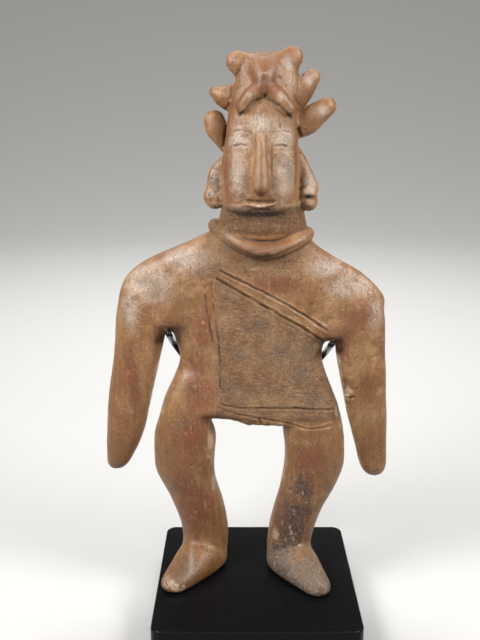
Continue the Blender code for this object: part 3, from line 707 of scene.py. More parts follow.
def pit_relief(points, count=260, seed=41):
    """Pin-head pits at random places: each a narrow bell of the distance in space."""
    rng = np.random.default_rng(seed)
    chosen = rng.choice(len(points), count, replace=False)
    radii = rng.uniform(0.30, 0.80, count)
    depths = rng.uniform(0.20, 0.60, count)
    total = np.zeros(len(points))
    for centre, radius, depth in zip(points[chosen], radii, depths):
        near = np.abs(points - centre).max(axis=1) < 3.0 * radius
        squared = ((points[near] - centre) ** 2).sum(axis=1)
        total[near] -= depth * np.exp(-squared / radius ** 2)
    return total


def grit_zone(points, front):
    """1 where the clay was never burnished: inside the garment's lines, on the neck and below it.

    The garment's upper edge falls from z = 158 at x = -19.6, by 0.609 for each millimetre. Its right
    edge lies at x = 37 where z = 124, and moves out by 0.15 for each millimetre down.
    """
    x, z = points[:, 0], points[:, 2]
    below_strap = ramp(158.0 - 0.609 * (x + 19.6) - z, -0.5, 1.5)
    left_of_arm = ramp(37.0 + 0.15 * (124.0 - z) - x, -0.6, 1.0)
    inside = front * ramp(x, -21.0, -19.0) * below_strap * ramp(z, 84.0, 88.0) * left_of_arm
    neck = ramp(z, 179.0, 183.0) * ramp(z, 195.0, 192.5) * ramp(np.abs(x - 2.0), 27.0, 23.0)
    chest = spot(points, 0.0, 166.0, 21.0, 7.0) + 0.8 * spot(points, -23.0, 172.0, 5.0, 12.0)
    return np.clip(inside + neck + front * np.clip(chest, 0.0, 0.8), 0.0, 1.0)


def facing(normals):
    """1 where the clay faces the front, 0 on its sides and back."""
    return ramp(-normals[:, 1], 0.10, 0.45)


def relief(points, normals, sizes):
    """All outward changes of the smoothed clay, in millimetres.

    Its unevenness is noise of several sizes; the strokes' noise is drawn out tenfold up and down.
    """
    front = facing(normals)
    strokes = points * np.array([1.0, 1.0, 0.10])
    grit = grit_zone(points, front)
    total = 0.26 * mottle(points, 17.0, 1) + 0.12 * mottle(points, 7.5, 2)
    total += (1.0 - grit) * 0.06 * mottle(strokes, 3.0, 3)
    total += grit * (0.11 * mottle(points, 1.9, 4) + 0.12 * mottle(points, 1.0, 5))
    total += front * (drawn_lines(points, sizes) + hand_forms(points) + face_forms(points))
    total += chip_relief(points) + pit_relief(points)
    return total


def fused(name, parts, grain, rub):
    """Lumps fused into one skin of cells, then rubbed smooth over a given reach.

    A pass reaches half a cell, so there are reach squared over a quarter of the cell squared of them.
    """
    holder = link(name, joined(name, parts))
    fuse = holder.modifiers.new("Fuse", "REMESH")
    fuse.mode = "VOXEL"
    fuse.voxel_size = grain
    mesh = worked_out(holder)
    points = places_of(mesh)
    edges = column(mesh.edges, "vertices", 2, np.int32)
    passes = int(round(rub ** 2 / (0.25 * grain ** 2)))
    move_to(mesh, rubbed(points, edges, passes))
    return mesh


def shell(mesh):
    """A mesh's points and faces, as a lump that can be joined to others."""
    points = places_of(mesh)
    corners = column(mesh.loops, "vertex_index", 1, np.int32)
    starts = column(mesh.polygons, "loop_start", 1, np.int32)
    faces = [part.tolist() for part in np.split(corners, starts[1:])]
    bpy.data.meshes.remove(mesh)
    return points, faces


def clay_mesh(sizes):
    """The clay's mesh in millimetres: lumps fused, rubbed smooth, marked, thinned out and pierced."""
    large = trunk_lumps() + limb_lumps() + head_lumps()
    body = fused("clay_body", large, sizes.body_grain, sizes.body_rub)
    mesh = fused("clay_fine", [shell(body)] + small_lumps(), sizes.grain, sizes.rub)
    points = places_of(mesh)
    normals = column(mesh.vertex_normals, "vector", 3)
    change = relief(points, normals, sizes)
    keep = np.abs(facing(normals) * drawn_lines(points, sizes)) > DEEP_LINE
    points = points + change[:, None] * normals
    points[:, 2] = np.maximum(points[:, 2], 0.0)
    move_to(mesh, points)
    holder = link("clay_thin", mesh)
    holder.vertex_groups.new(name="keep").add(np.flatnonzero(keep).tolist(), 1.0, "ADD")
    thin = holder.modifiers.new("Thin", "DECIMATE")
    thin.ratio = sizes.triangles / (2 * len(mesh.polygons))
    thin.vertex_group = "keep"
    thin.invert_vertex_group = True
    thin.vertex_group_factor = 0.02
    mesh = worked_out(holder)
    radius = sizes.ear_hole / 2
    return drilled(mesh, [((x, PLANE, z), 1, radius, DRILL_REACH) for x, z in EAR_HOLES])


def drilled(mesh, pins):
    """Round holes cut along one axis: each pin is its centre, axis, radius and half length."""
    turn = turns(24)
    lumps = []
    for centre, axis, radius, half in pins:
        circle = np.zeros((len(turn), 3))
        circle[:, (axis + 1) % 3] = radius * np.cos(turn)
        circle[:, (axis + 2) % 3] = radius * np.sin(turn)
        reach = np.zeros(3)
        reach[axis] = half
        lumps.append(skin(np.stack([circle + centre - reach, circle + centre + reach])))
    drill = link("drill", joined("drill", lumps))
    holder = link("drilled", mesh)
    hole = holder.modifiers.new("Hole", "BOOLEAN")
    hole.operation = "DIFFERENCE"
    hole.solver = "EXACT"
    hole.object = drill
    done = worked_out(holder)
    spent = drill.data
    bpy.data.objects.remove(drill, do_unlink=True)
    bpy.data.meshes.remove(spent)
    return done


def hollows(points, edges, normals):
    """How deep each point sits between its neighbours, spread a little over them.

    The mean of the neighbours minus the point, along the normal, over the square of the edges.
    """
    gap = points[edges[:, 1]] - points[edges[:, 0]]
    size = (gap ** 2).sum(axis=1)
    drift = np.zeros_like(points)
    for axis in range(3):
        drift[:, axis] = (np.bincount(edges[:, 0], gap[:, axis], len(points))
                          - np.bincount(edges[:, 1], gap[:, axis], len(points)))
    scale = sum(np.bincount(edges[:, end], size, len(points)) for end in (0, 1))
    depth = (drift * normals).sum(axis=1) / scale.clip(1e-6)
    spread = rubbed(np.repeat(depth[:, None], 3, axis=1), edges, passes=8)
    return spread[:, 0]


# Stains of the front, with painted shade and painted light among them: x, z, half width and half height
STAINS = {
    # The two spots beside the gaps under the arms, at x -49 and 42, are painted shade; the rest are slip.
    "red": [
        (-29.7, 104.3, 9.0, 20.0), (-31.9, 77.0, 8.0, 14.0), (-30.2, 32.2, 9.0, 14.0),
        (-36.1, 49.2, 7.2, 10.6), (-29.0, 36.0, 10.0, 20.0), (2.6, 249.2, 7.5, 5.0),
        (25.2, 63.2, 6.0, 12.0), (31.2, 68.2, 4.0, 4.0), (25.4, 49.2, 5.6, 8.0), (19.5, 32.2, 7.0, 8.5),
        (9.0, 155.0, 17.0, 6.4), (49.7, 138.4, 10.0, 8.5), (-61.4, 100.6, 4.6, 19.0),
        (-14.7, 205.0, 1.6, 13.0), (6.2, 214.0, 0.6, 10.0), (17.6, 212.0, 1.0, 12.0),
        (-1.4, 250.8, 2.2, 2.6), (6.2, 250.2, 2.2, 2.6), (2.8, 247.0, 3.0, 3.0),
        (-3.4, 245.4, 2.4, 1.6), (3.6, 239.6, 1.5, 1.5), (8.6, 247.6, 1.4, 1.8),
        (-25.6, 133.0, 7.0, 12.0), (42.0, 122.0, 4.0, 6.0), (-49.0, 124.0, 3.4, 8.0),
    ],
    "grey": [
        (13.0, 121.0, 9.0, 6.6), (-13.2, 101.6, 5.0, 4.6), (22.2, 109.6, 8.4, 6.4),
        (0.2, 134.3, 7.4, 5.6), (-8.0, 119.0, 4.0, 3.4), (2.7, 251.0, 1.3, 1.9),
        (14.6, 208.0, 3.4, 9.0), (26.0, 120.0, 6.0, 6.0), (-14.0, 176.0, 4.0, 8.0),
        (12.4, 224.0, 3.0, 3.0), (28.0, 98.0, 6.0, 8.0), (-38.0, 84.0, 4.0, 3.0),
        (-36.0, 8.0, 10.0, 7.0),
    ],
    # Painted highlight: the spots on the shoulders, the forelegs and the left foot's ridge stand for
    # sheen; the tall spots on the cheeks are pale clay with sheen painted on it.
    "bloom_and_sheen": [
        (11.6, 209.0, 6.0, 15.0), (2.0, 231.0, 9.0, 5.0), (-9.2, 208.0, 4.6, 12.0),
        (-8.4, 224.0, 6.0, 7.0), (10.8, 225.0, 6.0, 7.0), (13.4, 258.0, 3.0, 3.4),
        (24.0, 251.0, 2.6, 3.6), (30.0, 236.4, 3.6, 3.0), (-52.0, 155.0, 15.0, 11.0),
        (-34.0, 167.0, 14.0, 7.4), (-62.0, 142.0, 6.0, 11.0), (44.0, 153.6, 13.0, 7.0),
        (33.0, 163.0, 10.0, 5.4), (58.4, 140.0, 5.0, 9.0), (-3.6, 243.8, 1.6, 2.4),
        (10.0, 242.8, 1.6, 2.6), (24.6, 203.0, 3.6, 8.0), (-20.0, 204.0, 3.0, 9.0),
        (-33.5, 10.5, 2.0, 5.0),
    ],
    # Painted shade: the wide spot at z 186 darkens the neck under the face; the rest are warm clay.
    "ochre_and_shade": [
        (-64.0, 112.0, 8.0, 26.0), (-68.0, 76.0, 10.0, 18.0), (54.0, 102.0, 6.0, 14.0),
        (60.0, 72.0, 9.0, 16.0), (-40.0, 66.0, 15.0, 26.0), (32.0, 60.0, 16.0, 24.0),
        (1.2, 206.0, 3.0, 9.0), (-13.0, 201.0, 3.0, 9.0), (-40.0, 134.0, 9.0, 8.0),
        (45.0, 128.0, 9.0, 7.0), (-12.0, 258.6, 3.0, 4.0), (2.0, 173.0, 22.0, 4.0),
        (-30.0, 30.0, 14.0, 24.0), (20.0, 30.0, 14.0, 24.0), (-10.0, 241.0, 6.0, 14.0),
        (2.0, 254.0, 18.0, 14.0), (2.4, 236.0, 5.0, 3.0), (-36.0, 5.0, 12.0, 10.0),
        (-70.0, 62.0, 8.0, 10.0), (22.0, 240.0, 14.0, 16.0), (2.0, 186.0, 26.0, 6.0),
        (-17.0, 230.0, 5.0, 12.0),
    ],
    # Painted shadow: the wide spot at z 190 is the shadow under the chin; the others are real staining.
    "soot_and_shadow": [
        (18.4, 24.0, 10.0, 13.0), (21.0, 36.0, 9.0, 10.0), (24.0, 48.0, 6.0, 9.0),
        (2.7, 250.4, 1.2, 1.8), (13.0, 15.0, 7.0, 3.5), (1.2, 190.0, 17.0, 2.2),
    ],
    # Painted shadows: spots in the gaps under the arms, beside the jaw, under the nose, in the snout's
    # pit, in the ear's cup and under the hem.
    "painted_shadow": [
        (-47.6, 126.6, 1.9, 3.4), (-39.4, 128.4, 1.0, 2.6), (40.4, 122.8, 2.1, 2.2),
        (34.2, 122.4, 0.9, 2.4), (19.6, 190.8, 1.6, 1.7), (3.1, 243.6, 0.9, 0.8),
        (1.2, 198.7, 2.6, 0.7), (-20.0, 87.0, 3.0, 3.0), (24.0, 196.8, 2.0, 0.9),
    ],
    # Partly painted light: the strips on the legs' inner edges and on the gap's side wall at x -40.8 stand
    # for light falling on them; the rest are chips and worn clay.
    "pale_and_lit": [
        (-23.6, 69.3, 2.0, 14.0), (-21.8, 49.2, 2.4, 8.0), (14.2, 60.4, 2.0, 14.0),
        (41.2, 90.4, 1.4, 9.0), (43.0, 84.0, 1.4, 6.0), (46.2, 101.0, 2.2, 8.0),
        (15.6, 249.0, 0.8, 4.0), (2.3, 253.6, 1.1, 0.8), (1.2, 194.1, 4.8, 0.7), (10.9, 21.4, 2.3, 4.5),
        (23.8, 16.5, 2.6, 1.6), (-16.8, 204.6, 1.4, 0.7), (-44.6, 6.0, 3.4, 2.4),
        (-40.8, 126.0, 0.9, 3.4), (8.0, 83.4, 4.6, 0.8),
    ],
}


def clay_marks(points, normals, depth, sizes):
    """Where each finish, painted shade and painted light of the clay shows, from 0 to 1, from place and
    facing.
    """
    front = ramp(-normals[:, 1], -0.10, 0.30)
    x, z = points[:, 0], points[:, 2]
    marks = {}
    for name, places in STAINS.items():
        marks[name] = front * np.max([spot(points, *place) for place in places], axis=0)
    behind = ramp(normals[:, 1], 0.0, 0.4)
    for name, size, seed, low, high, most in (("ochre_and_shade", 34.0, 51, -0.1, 0.5, 0.7),
                                              ("red", 26.0, 52, 0.15, 0.6, 0.8)):
        patches = most * behind * ramp(mottle(points, size, seed), low, high)
        marks[name] = np.maximum(marks[name], patches)
    # Painted light: paler where the arms and the trunk face sideways across the gaps, as if lit.
    lit_inner_sides = ramp(np.abs(normals[:, 0]), 0.72, 0.95) * ramp(z, 62.0, 70.0) * ramp(z, 124.0, 116.0)
    lit_inner_sides *= np.maximum(ramp(x, -66.0, -60.0) * ramp(x, -36.0, -42.0),
                            ramp(x, 30.0, 34.0) * ramp(x, 56.0, 50.0))
    right_foot = ramp(z, 19.0, 5.0) * ramp(x, 2.0, 6.0)
    edge = 1.6 * mottle(points, 1.5, 33)
    toes = [np.linalg.norm(points - np.array(chip[:3]), axis=1) + edge for chip in TOE_CHIPS]
    chipped = np.max([ramp(distance, 3.4, 2.0) for distance in toes], axis=0)
    lines = facing(normals) * ramp(-drawn_lines(points, sizes), 0.14, 0.55)
    # The painted shadow spots join the mark of the hollows.
    painted_shadow = marks.pop("painted_shadow")
    marks["crust"] = np.clip(right_foot * front + 0.4 * right_foot, 0.0, 1.0)
    # Pale wear and chips, with the painted light on the gaps' sides.
    marks["pale_and_lit"] = np.clip(marks["pale_and_lit"] + 0.8 * lit_inner_sides + chipped, 0.0, 1.0)
    # Partly soil, partly painted shade: darkest in hollows, in scored lines and in the painted shadow
    # spots.
    marks["soil_and_shade"] = np.clip(ramp(depth, 0.10, 0.42) + 0.5 * lines + 0.6 * painted_shadow, 0.0, 1.0)
    marks["edge"] = ramp(-depth, 0.10, 0.34)
    marks["grit"] = grit_zone(points, facing(normals))
    return marks


def fitted(points, node):
    """Points in millimetres above the soles, moved into metres and into the solid's own box."""
    low, high = (np.array(corner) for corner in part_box(node))
    own_low, own_high = points.min(0), points.max(0)
    return low + (points - own_low) / (own_high - own_low) * (high - low)


# Materials

class Tree:
    """A material's nodes, added one at a time, with values or links for their sockets."""

    def __init__(self, name):
        self.material = bpy.data.materials.new(name)
        self.material.use_nodes = True
        self.tree = self.material.node_tree
        self.shader = self.tree.nodes["Principled BSDF"]
        self.place = self.add("ShaderNodeTexCoord").outputs["Object"]

    def set(self, socket, value):
        """Give a socket a value, or link another node's output to it."""
        if isinstance(value, bpy.types.NodeSocket):
            self.tree.links.new(value, socket)
        else:
            socket.default_value = value

    def add(self, kind, inputs=(), **settings):
        """Add one node, with its settings first and then its sockets by name or number."""
        made = self.tree.nodes.new(kind)
        for name, value in settings.items():
            setattr(made, name, value)
        for name, value in dict(inputs).items():
            self.set(made.inputs[name], value)
        return made

    def noise(self, scale, detail, rough, stretch=None, seat=(0.0, 0.0, 0.0)):
        """Noise with features 1 / scale metres wide, stretched and shifted if asked."""
        vector = self.place
        if stretch is not None or any(seat):
            vector = self.add("ShaderNodeMapping", {
                "Vector": vector, "Location": seat, "Scale": stretch or (1.0, 1.0, 1.0),
            }).outputs[0]
        return self.add("ShaderNodeTexNoise", {
            "Vector": vector, "Scale": scale, "Detail": detail, "Roughness": rough,
        }).outputs["Fac"]

    def between(self, value, low, high, start=0.0, end=1.0):
        """A value mapped smoothly from low..high to start..end."""
        return self.add("ShaderNodeMapRange", {
            "Value": value, "From Min": low, "From Max": high, "To Min": start, "To Max": end,
        }, interpolation_type="SMOOTHSTEP").outputs["Result"]

    def mark(self, name):
        """A mark that the clay's mesh carries."""
        return self.add("ShaderNodeAttribute", attribute_name="clay_" + name).outputs["Fac"]

    def maths(self, operation, first, second):
        """Two values put together."""
        return self.add("ShaderNodeMath", {0: first, 1: second}, operation=operation).outputs[0]

    def times(self, first, second):
        """Two values multiplied."""
        return self.maths("MULTIPLY", first, second)

    def plus(self, first, second):
        """Two values added."""
        return self.maths("ADD", first, second)

    def ragged(self, name, noise, reach, low, high):
        """A mark with its edge broken up: mark + reach x (noise - 1/2), cut off between two levels."""
        broken = self.add("ShaderNodeMath", {0: noise, 1: reach, 2: -0.5 * reach},
                          operation="MULTIPLY_ADD").outputs[0]
        return self.between(self.plus(self.mark(name), broken), low, high)

    def blend(self, share, first, second, mode="MIX"):
        """Two colours mixed by a share."""
        return self.add("ShaderNodeMix", {"Factor": share, "A": first, "B": second},
                        data_type="RGBA", blend_type=mode).outputs["Result"]

    def bump(self, height, distance):
        """Relief of a height from 0 to 1 over a distance in metres."""
        inputs = {"Strength": 1.0, "Distance": distance, "Height": height}
        return self.add("ShaderNodeBump", inputs).outputs[0]

    def finish(self, colour, roughness, normal=None, **constants):
        """Link what varies to the shader, and set what doesn't on it."""
        self.set(self.shader.inputs["Base Color"], colour)
        self.set(self.shader.inputs["Roughness"], roughness)
        if normal is not None:
            self.set(self.shader.inputs["Normal"], normal)
        for name, value in constants.items():
            self.shader.inputs[name.replace("_", " ")].default_value = value
        return self.material


def burnished_clay(colours):
    """Buff and tan clay, streaked up and down by the burnishing stone.

    Pale bloom, ochre, red-brown slip, smoke, soot and crust lie over it where the mesh's marks are,
    broken up by noise, and then wear on the edges, blackish specks, and soil in the hollows. Light
    and shade are painted in among them: the pale bloom and pale marks also paint sheen and lit sides,
    and the ochre, slip, soot and hollow colours also paint shade on the neck, beside the arms, under
    the chin and in the hollows.
    """
    tree = Tree("burnished_clay")
    cloud = tree.noise(44.0, 5.0, 0.62)
    blotch = tree.noise(190.0, 6.0, 0.70, seat=(0.3, 0.1, 0.2))
    patch = tree.noise(95.0, 6.0, 0.72, seat=(0.6, 0.4, 0.1))
    streak = tree.noise(520.0, 5.0, 0.62, stretch=(1.0, 1.0, 0.08))
    brush = tree.noise(620.0, 5.0, 0.75, stretch=(0.65, 1.0, 1.0))
    grain = tree.noise(1700.0, 3.0, 0.65)
    fleck = tree.noise(760.0, 5.0, 0.72, seat=(0.1, 0.5, 0.9))
    stray = tree.noise(120.0, 6.0, 0.75, seat=(0.7, 0.2, 0.4))
    scuff = tree.noise(520.0, 5.0, 0.7, seat=(0.9, 0.1, 0.3), stretch=(1.0, 1.0, 0.4))
    grit = tree.mark("grit")
    edge = tree.mark("edge")
    soil_and_shade = tree.mark("soil_and_shade")
    worn_through = tree.plus(tree.mark("red"), tree.mark("soot_and_shadow"))
    torn = tree.plus(tree.times(blotch, 0.78), tree.times(streak, 0.22))

    flaky = tree.plus(tree.mark("crust"), tree.times(tree.mark("soot_and_shadow"), 0.35))
    flaky = tree.times(flaky, tree.between(blotch, 0.42, 0.60, 0.35, 1.0))
    crust = tree.times(flaky, tree.between(fleck, 0.50, 0.60))
    crowd = tree.between(tree.noise(70.0, 3.0, 0.6, seat=(0.5, 0.5, 0.1)), 0.40, 0.62)
    coarse = tree.between(tree.noise(1050.0, 2.0, 0.5, seat=(0.2, 0.9, 0.4)), 0.63, 0.70)
    fine = tree.between(tree.noise(2300.0, 2.0, 0.5, seat=(0.8, 0.3, 0.6)), 0.61, 0.69)
    specks = tree.maths("MAXIMUM", tree.times(coarse, crowd), tree.times(fine, 0.55))

    warmth = tree.plus(tree.times(cloud, 0.55), tree.times(patch, 0.45))
    colour = tree.blend(tree.between(warmth, 0.43, 0.57), tuple(colours.buff), tuple(colours.tan))
    layers = (
        # Partly painted shade, on the neck under the face.
        (tree.ragged("ochre_and_shade", torn, 2.6, 0.10, 1.05), 0.85, colours.ochre_and_shade),
        (tree.between(streak, 0.50, 0.66), 0.24, colours.ochre_and_shade),
        (tree.between(streak, 0.47, 0.34), 0.22, colours.buff),
        # Partly painted highlight: sheen on the shoulders, the cheeks and the forelegs.
        (tree.ragged("bloom_and_sheen", torn, 1.2, 0.10, 1.15), 0.80, colours.bloom_and_sheen),
        # Partly painted shade, beside the gaps under the arms.
        (tree.ragged("red", torn, 3.6, 0.20, 1.02), 0.86, colours.slip),
        (tree.between(stray, 0.54, 0.68), 0.50, colours.slip),
        (tree.ragged("grey", blotch, 2.4, 0.25, 1.25), 0.62, colours.smoke),
        # Partly painted shadow, under the chin.
        (tree.ragged("soot_and_shadow", torn, 3.0, 0.20, 1.00), 0.90, colours.soot_and_shadow),
        (tree.times(grit, tree.between(brush, 0.50, 0.66)), 0.10, colours.smoke),
        (tree.times(grit, tree.between(brush, 0.50, 0.34)), 0.36, colours.bloom_and_sheen),
        (tree.ragged("crust", blotch, 1.6, 0.30, 1.00), 0.62, colours.film),
        (crust, 0.74, colours.crust),
        # Partly painted light on the lit inner sides.
        (tree.ragged("pale_and_lit", torn, 4.0, 0.45, 1.10), 0.62, colours.worn_and_lit),
        (tree.times(edge, tree.between(streak, 0.35, 0.60, 0.15, 0.60)), 1.0, colours.worn_and_lit),
        (tree.times(tree.between(scuff, 0.57, 0.66), worn_through), 0.45, colours.worn_and_lit),
        (specks, 0.80, colours.soil_and_shade),
        # Painted shade with soil: the hollows and lines darkened.
        (tree.times(soil_and_shade, tree.between(grain, 0.25, 0.60, 0.70, 1.0)), 0.95, colours.soil_and_shade),
    )
    for share, most, over in layers:
        colour = tree.blend(tree.times(share, most), colour, tuple(over))
    tone = tree.between(grain, 0.30, 0.70, 0.72, 1.25)
    tone = tree.times(tone, tree.between(blotch, 0.34, 0.66, 0.82, 1.20))
    tone = tree.times(tone, tree.between(fleck, 0.34, 0.66, 0.90, 1.14))
    shade = tree.add("ShaderNodeCombineColor", {0: tone, 1: tone, 2: tone}).outputs[0]
    colour = tree.blend(1.0, colour, shade, mode="MULTIPLY")

    rough = tree.between(blotch, 0.30, 0.70, 0.33, 0.50)
    for name, amount in (("grit", 0.22), ("soil_and_shade", 0.35), ("crust", 0.25)):
        rough = tree.plus(rough, tree.times(tree.mark(name), amount))

    height = tree.plus(tree.times(streak, 0.16), tree.times(grain, 0.40))
    sandy = tree.plus(tree.times(grit, 4.0), 0.60)
    for noise, amount in ((fleck, sandy), (brush, tree.times(grit, 4.5)), (specks, -1.2), (crust, 0.8)):
        height = tree.plus(height, tree.times(noise, amount))
    return tree.finish(colour, rough, tree.bump(height, 0.00034), IOR=1.48)


def black_gloss(stand):
    """Polished black plate: specks of dust, soft smears in the gloss, and hair-fine scratches."""
    tree = Tree("black_gloss")
    dust = tree.between(tree.noise(1400.0, 2.0, 0.5), 0.735, 0.77)
    colour = tree.blend(tree.times(dust, 0.30), tuple(stand.black), tuple(stand.dust))
    smear = tree.between(tree.noise(32.0, 4.0, 0.6), 0.35, 0.70, 0.16, 0.28)
    hair = tree.between(tree.noise(900.0, 2.0, 0.5, stretch=(0.03, 1.0, 1.0)), 0.62, 0.70, 0.0, 0.05)
    normal = tree.bump(tree.noise(220.0, 2.0, 0.5), 0.000006)
    return tree.finish(colour, tree.plus(smear, hair), normal, IOR=1.20)


def black_lacquer(stand):
    """Painted steel rod: gloss paint, a little uneven, with a few rubbed spots."""
    tree = Tree("black_lacquer")
    rub = tree.between(tree.noise(300.0, 4.0, 0.6), 0.60, 0.75)
    colour = tree.blend(tree.times(rub, 0.35), tuple(stand.black), tuple(stand.bare))
    rough = tree.between(tree.noise(500.0, 3.0, 0.6), 0.3, 0.7, 0.14, 0.28)
    normal = tree.bump(tree.noise(700.0, 2.0, 0.5), 0.00002)
    return tree.finish(colour, rough, normal, IOR=1.28)


def smooth(mesh):
    """Shade every face smooth."""
    mesh.polygons.foreach_set("use_smooth", np.ones(len(mesh.polygons), bool))
    mesh.update()


class FIGURINE_OT_clay(Operator):
    """Model the clay figure, and colour it."""

    bl_idname = "figurine.clay"
    bl_label = "Clay figure"

    def execute(self, context):
        sizes = context.scene.clay_sizes
        mesh = clay_mesh(sizes)
        points = places_of(mesh)
        edges = column(mesh.edges, "vertices", 2, np.int32)
        normals = column(mesh.vertex_normals, "vector", 3)
        depth = hollows(points, edges, normals)
        for name, values in clay_marks(points, normals, depth, sizes).items():
            mark = mesh.attributes.new("clay_" + name, "FLOAT", "POINT")
            mark.data.foreach_set("value", values.astype(np.float32))
        move_to(mesh, fitted(points, "figurine"))
        smooth(mesh)
        mesh.materials.clear()
        mesh.materials.append(burnished_clay(context.scene.clay_colours))
        figure = link("clay_figure", mesh)
        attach(figure, "root")
        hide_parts("figurine")
        return {"FINISHED"}


def plate_grid(half, height, corner, arris):
    """Rounded squares carried up a profile of two quarter circles.

    Each ring is the square of side 2 (half - corner) grown by the corner's radius, less the inset
    of its level; the insets and heights at each edge follow the arris's sine and cosine.
    """
    quarter = np.radians(np.linspace(0.0, 90.0, 7))
    inset = np.concatenate([arris * (1.0 - np.sin(quarter)), arris * (1.0 - np.cos(quarter))])
    level = np.concatenate([arris * (1.0 - np.cos(quarter)),
                            height - arris * (1.0 - np.sin(quarter))])
    turn = turns(96) + math.pi / 96
    spoke = np.column_stack([np.cos(turn), np.sin(turn)])
    core = (half - corner) * np.sign(spoke)
    rim = core[None] + (corner - inset)[:, None, None] * spoke[None]
    heights = np.broadcast_to(level[:, None, None], rim.shape[:2] + (1,))
    return np.concatenate([rim, heights], axis=2)


class FIGURINE_OT_stand(Operator):
    """Turn out the stand's plate and its two rods."""

    bl_idname = "figurine.stand"
    bl_label = "Stand"

    def execute(self, context):
        sizes = context.scene.stand_sizes
        lacquer = black_lacquer(sizes)
        for side in ("left", "right"):
            name = "support_rod_" + side
            rod = link("stand_rod_" + side, rod_mesh(name, sizes))
            smooth(rod.data)
            rod.data.materials.append(lacquer)
            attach(rod, "root")
            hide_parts(name)
        plate = link("stand_plate", plate_mesh(sizes))
        smooth(plate.data)
        plate.data.set_sharp_from_angle(angle=math.radians(50.0))
        plate.data.materials.clear()
        plate.data.materials.append(black_gloss(sizes))
        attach(plate, "root")
        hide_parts("base_plate")
        return {"FINISHED"}


def rod_ends(node, sizes):
    """A rod's foot, and the middle of the ball at its tip, from its solid's box."""
    low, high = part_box(node)
    radius = sizes.rod / 2
    if node.endswith("left"):
        foot_x, tip_x = high.x - radius, low.x + radius
    else:
        foot_x, tip_x = low.x + radius, high.x - radius
    foot = np.array([foot_x, high.y - radius, low.z])
    tip = np.array([tip_x, low.y + radius, high.z - radius])
    return foot, tip


def plate_mesh(sizes):
    """The plate with its rounded edges, and a socket drilled for the foot of each rod."""
    low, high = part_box("base_plate")
    grid = plate_grid((high.x - low.x) / 2, high.z - low.z, sizes.corner, sizes.arris)
    mesh = joined("stand_plate", [skin(grid)])
    pins = []
    for side in ("left", "right"):
        foot, _ = rod_ends("support_rod_" + side, sizes)
        bottom = foot[2] - sizes.clearance
        top = high.z + 2.0 * sizes.clearance
        centre = (foot[0], foot[1], (bottom + top) / 2)
        pins.append((centre, 2, sizes.rod / 2 + sizes.clearance, (top - bottom) / 2))
    return drilled(mesh, pins)


def bent(corners, radius, steps=14):
    """Straight runs with a true arc of one radius at each corner.

    An arc starts radius x tan(half the turn) before its corner, and its points are the corner's
    inner centre plus the two directions' cosine and sine shares of the radius.
    """
    points = [corners[0]]
    for before, corner, after in zip(corners, corners[1:], corners[2:]):
        arriving = unit(corner - before)
        leaving = unit(after - corner)
        turn = math.acos(np.clip(arriving @ leaving, -1.0, 1.0))
        start = corner - arriving * radius * math.tan(turn / 2)
        inward = unit(leaving - arriving * (leaving @ arriving))
        angle = np.linspace(0.0, turn, steps)[:, None]
        points.extend(start + radius * (np.sin(angle) * arriving + (1.0 - np.cos(angle)) * inward))
    points.append(corners[-1])
    return np.array(points)


def rod_mesh(node, sizes):
    """A round bar from its socket up behind the waist, out, and rising forward under an arm.

    Rings square to the path, each turned from the last by as little as the path needs; the front
    end is a hemisphere. The last run rises by the tangent of the rise for each metre forward.
    """
    radius = sizes.rod / 2
    foot, tip = rod_ends(node, sizes)
    low = tip[2] - (foot[1] - tip[1]) * math.tan(sizes.rise)
    corners = [
        foot,
        np.array([foot[0], foot[1], low - 2.6 * sizes.bend]),
        np.array([tip[0], foot[1], low]),
        tip,
    ]
    path = bent(corners, sizes.bend)
    along = unit(np.gradient(path, axis=0))
    frames = [np.array([1.0, 0.0, 0.0])]
    for direction in along[1:]:
        frames.append(unit(frames[-1] - direction * (frames[-1] @ direction)))
    across = np.array(frames) * radius
    deep = np.cross(along, np.array(frames)) * radius
    angles = np.radians([20.0, 40.0, 58.0, 74.0, 86.0])
    centres = np.vstack([path, path[-1] + np.sin(angles)[:, None] * radius * along[-1]])
    across = np.vstack([across, np.cos(angles)[:, None] * across[-1]])
    deep = np.vstack([deep, np.cos(angles)[:, None] * deep[-1]])
    return joined(node, [skin(rings(centres, across, deep, sides=28, squareness=2.0))])


# Places in metres
CAMERA_PLACE = (-0.0082, -0.3896, 0.2568)
FIGURE_MIDDLE = (0.0, 0.0, 0.16)

# Name, place, target, size in metres, and power as a multiple of the key's
LIGHTS = (
    ("key_left", (-0.31, -0.24, 0.45), FIGURE_MIDDLE, 0.20, 1.0),
    ("key_right", (0.34, -0.19, 0.43), FIGURE_MIDDLE, 0.18, 0.75),
    ("fill_front", (0.05, -0.95, 0.75), FIGURE_MIDDLE, 0.50, 0.7),
    ("backdrop", (0.0, 0.45, 1.0), (0.0, 1.25, 0.30), 0.80, 6.0),
)


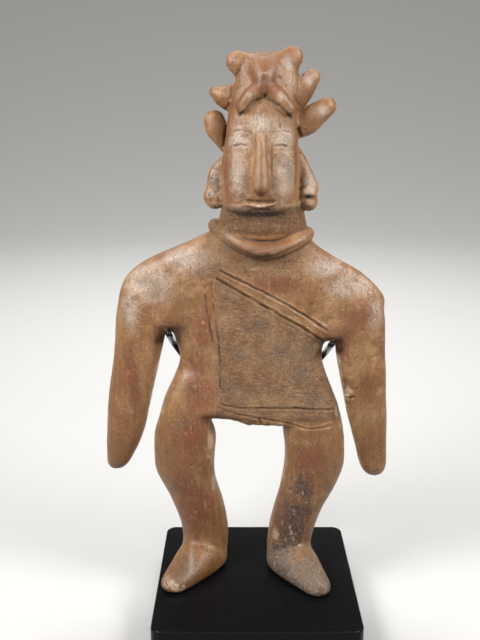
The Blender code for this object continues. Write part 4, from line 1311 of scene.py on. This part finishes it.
class FIGURINE_OT_studio(Operator):
    """Lay the floor with its sweep, hang the lights and set up the camera."""

    bl_idname = "figurine.studio"
    bl_label = "Studio"

    def execute(self, context):
        scene = context.scene
        studio = scene.studio
        floor = link("floor", joined("floor", [sweep()]))
        smooth(floor.data)
        tree = Tree("paper")
        grain = tree.between(tree.noise(30.0, 3.0, 0.5), 0.3, 0.7, 0.86, 0.92)
        floor.data.materials.append(tree.finish(tuple(studio.paper), grain))
        for name, place, target, size, power in LIGHTS:
            soft_light(name, place, target, size, power * studio.key)
        world = bpy.data.worlds.new("studio_world")
        world.use_nodes = True
        background = world.node_tree.nodes["Background"]
        background.inputs["Color"].default_value = studio.sky_tint
        background.inputs["Strength"].default_value = studio.sky
        scene.world = world
        scene.view_settings.view_transform = "Standard"
        camera = bpy.data.objects.new("camera", bpy.data.cameras.new("camera"))
        scene.collection.objects.link(camera)
        camera.location = CAMERA_PLACE
        camera.rotation_euler = (math.pi / 2 - studio.tilt, 0.0, 0.0)
        camera.data.sensor_width = 36.0
        camera.data.lens = studio.lens
        camera.data.clip_start = 0.01
        scene.camera = camera
        return {"FINISHED"}


def sweep(flat=1.3, rise=1.4, height=1.5):
    """A round floor that turns up into a wall: radius and height of a quarter circle, then straight."""
    quarter = np.radians(np.linspace(0.0, 90.0, 24))
    reach = np.concatenate([[0.02, 0.3, 0.8], flat + rise * np.sin(quarter), [flat + rise]])
    level = np.concatenate([[0.0, 0.0, 0.0], rise * (1.0 - np.cos(quarter)), [height]])
    turn = turns(96)
    grid = np.stack([
        reach[:, None] * np.cos(turn)[None],
        reach[:, None] * np.sin(turn)[None],
        np.repeat(level[:, None], len(turn), axis=1),
    ], axis=-1)
    points, faces = skin(grid)
    return points, faces[:-1]


def soft_light(name, place, target, size, power):
    """Hang a large square light at a place, turned to a target."""
    lamp = bpy.data.lights.new(name, "AREA")
    lamp.shape = "SQUARE"
    lamp.size = size
    lamp.energy = power
    holder = bpy.data.objects.new(name, lamp)
    bpy.context.scene.collection.objects.link(holder)
    holder.location = place
    away = np.array(place) - target
    reach = math.hypot(away[0], away[1])
    holder.rotation_euler = (math.atan2(reach, away[2]), 0.0, math.atan2(away[0], -away[1]))


class FIGURINE_PT_panel(Panel):
    """Sizes, colours and the steps of the build."""

    bl_label = "Figurine"
    bl_idname = "FIGURINE_PT_panel"
    bl_space_type = "VIEW_3D"
    bl_region_type = "UI"
    bl_category = "Figurine"

    def draw(self, context):
        groups = [
            (FIGURINE_OT_clay, (context.scene.clay_sizes, context.scene.clay_colours)),
            (FIGURINE_OT_stand, (context.scene.stand_sizes,)),
            (FIGURINE_OT_studio, (context.scene.studio,)),
        ]
        for operator, settings in groups:
            box = self.layout.box()
            for group in settings:
                for name in group.__annotations__:
                    box.prop(group, name)
            box.operator(operator.bl_idname)


CLASSES = (
    ClaySizes,
    ClayColours,
    StandSizes,
    StudioSettings,
    FIGURINE_OT_clay,
    FIGURINE_OT_stand,
    FIGURINE_OT_studio,
    FIGURINE_PT_panel,
)

SETTINGS = {
    "clay_sizes": ClaySizes,
    "clay_colours": ClayColours,
    "stand_sizes": StandSizes,
    "studio": StudioSettings,
}


def register():
    for kind in CLASSES:
        bpy.utils.register_class(kind)
    for name, kind in SETTINGS.items():
        setattr(bpy.types.Scene, name, PointerProperty(type=kind))


def unregister():
    for name in SETTINGS:
        delattr(bpy.types.Scene, name)
    for kind in reversed(CLASSES):
        bpy.utils.unregister_class(kind)


def main():
    register()
    bpy.ops.figurine.clay()
    bpy.ops.figurine.stand()
    bpy.ops.figurine.studio()


if __name__ == "__main__":
    main()
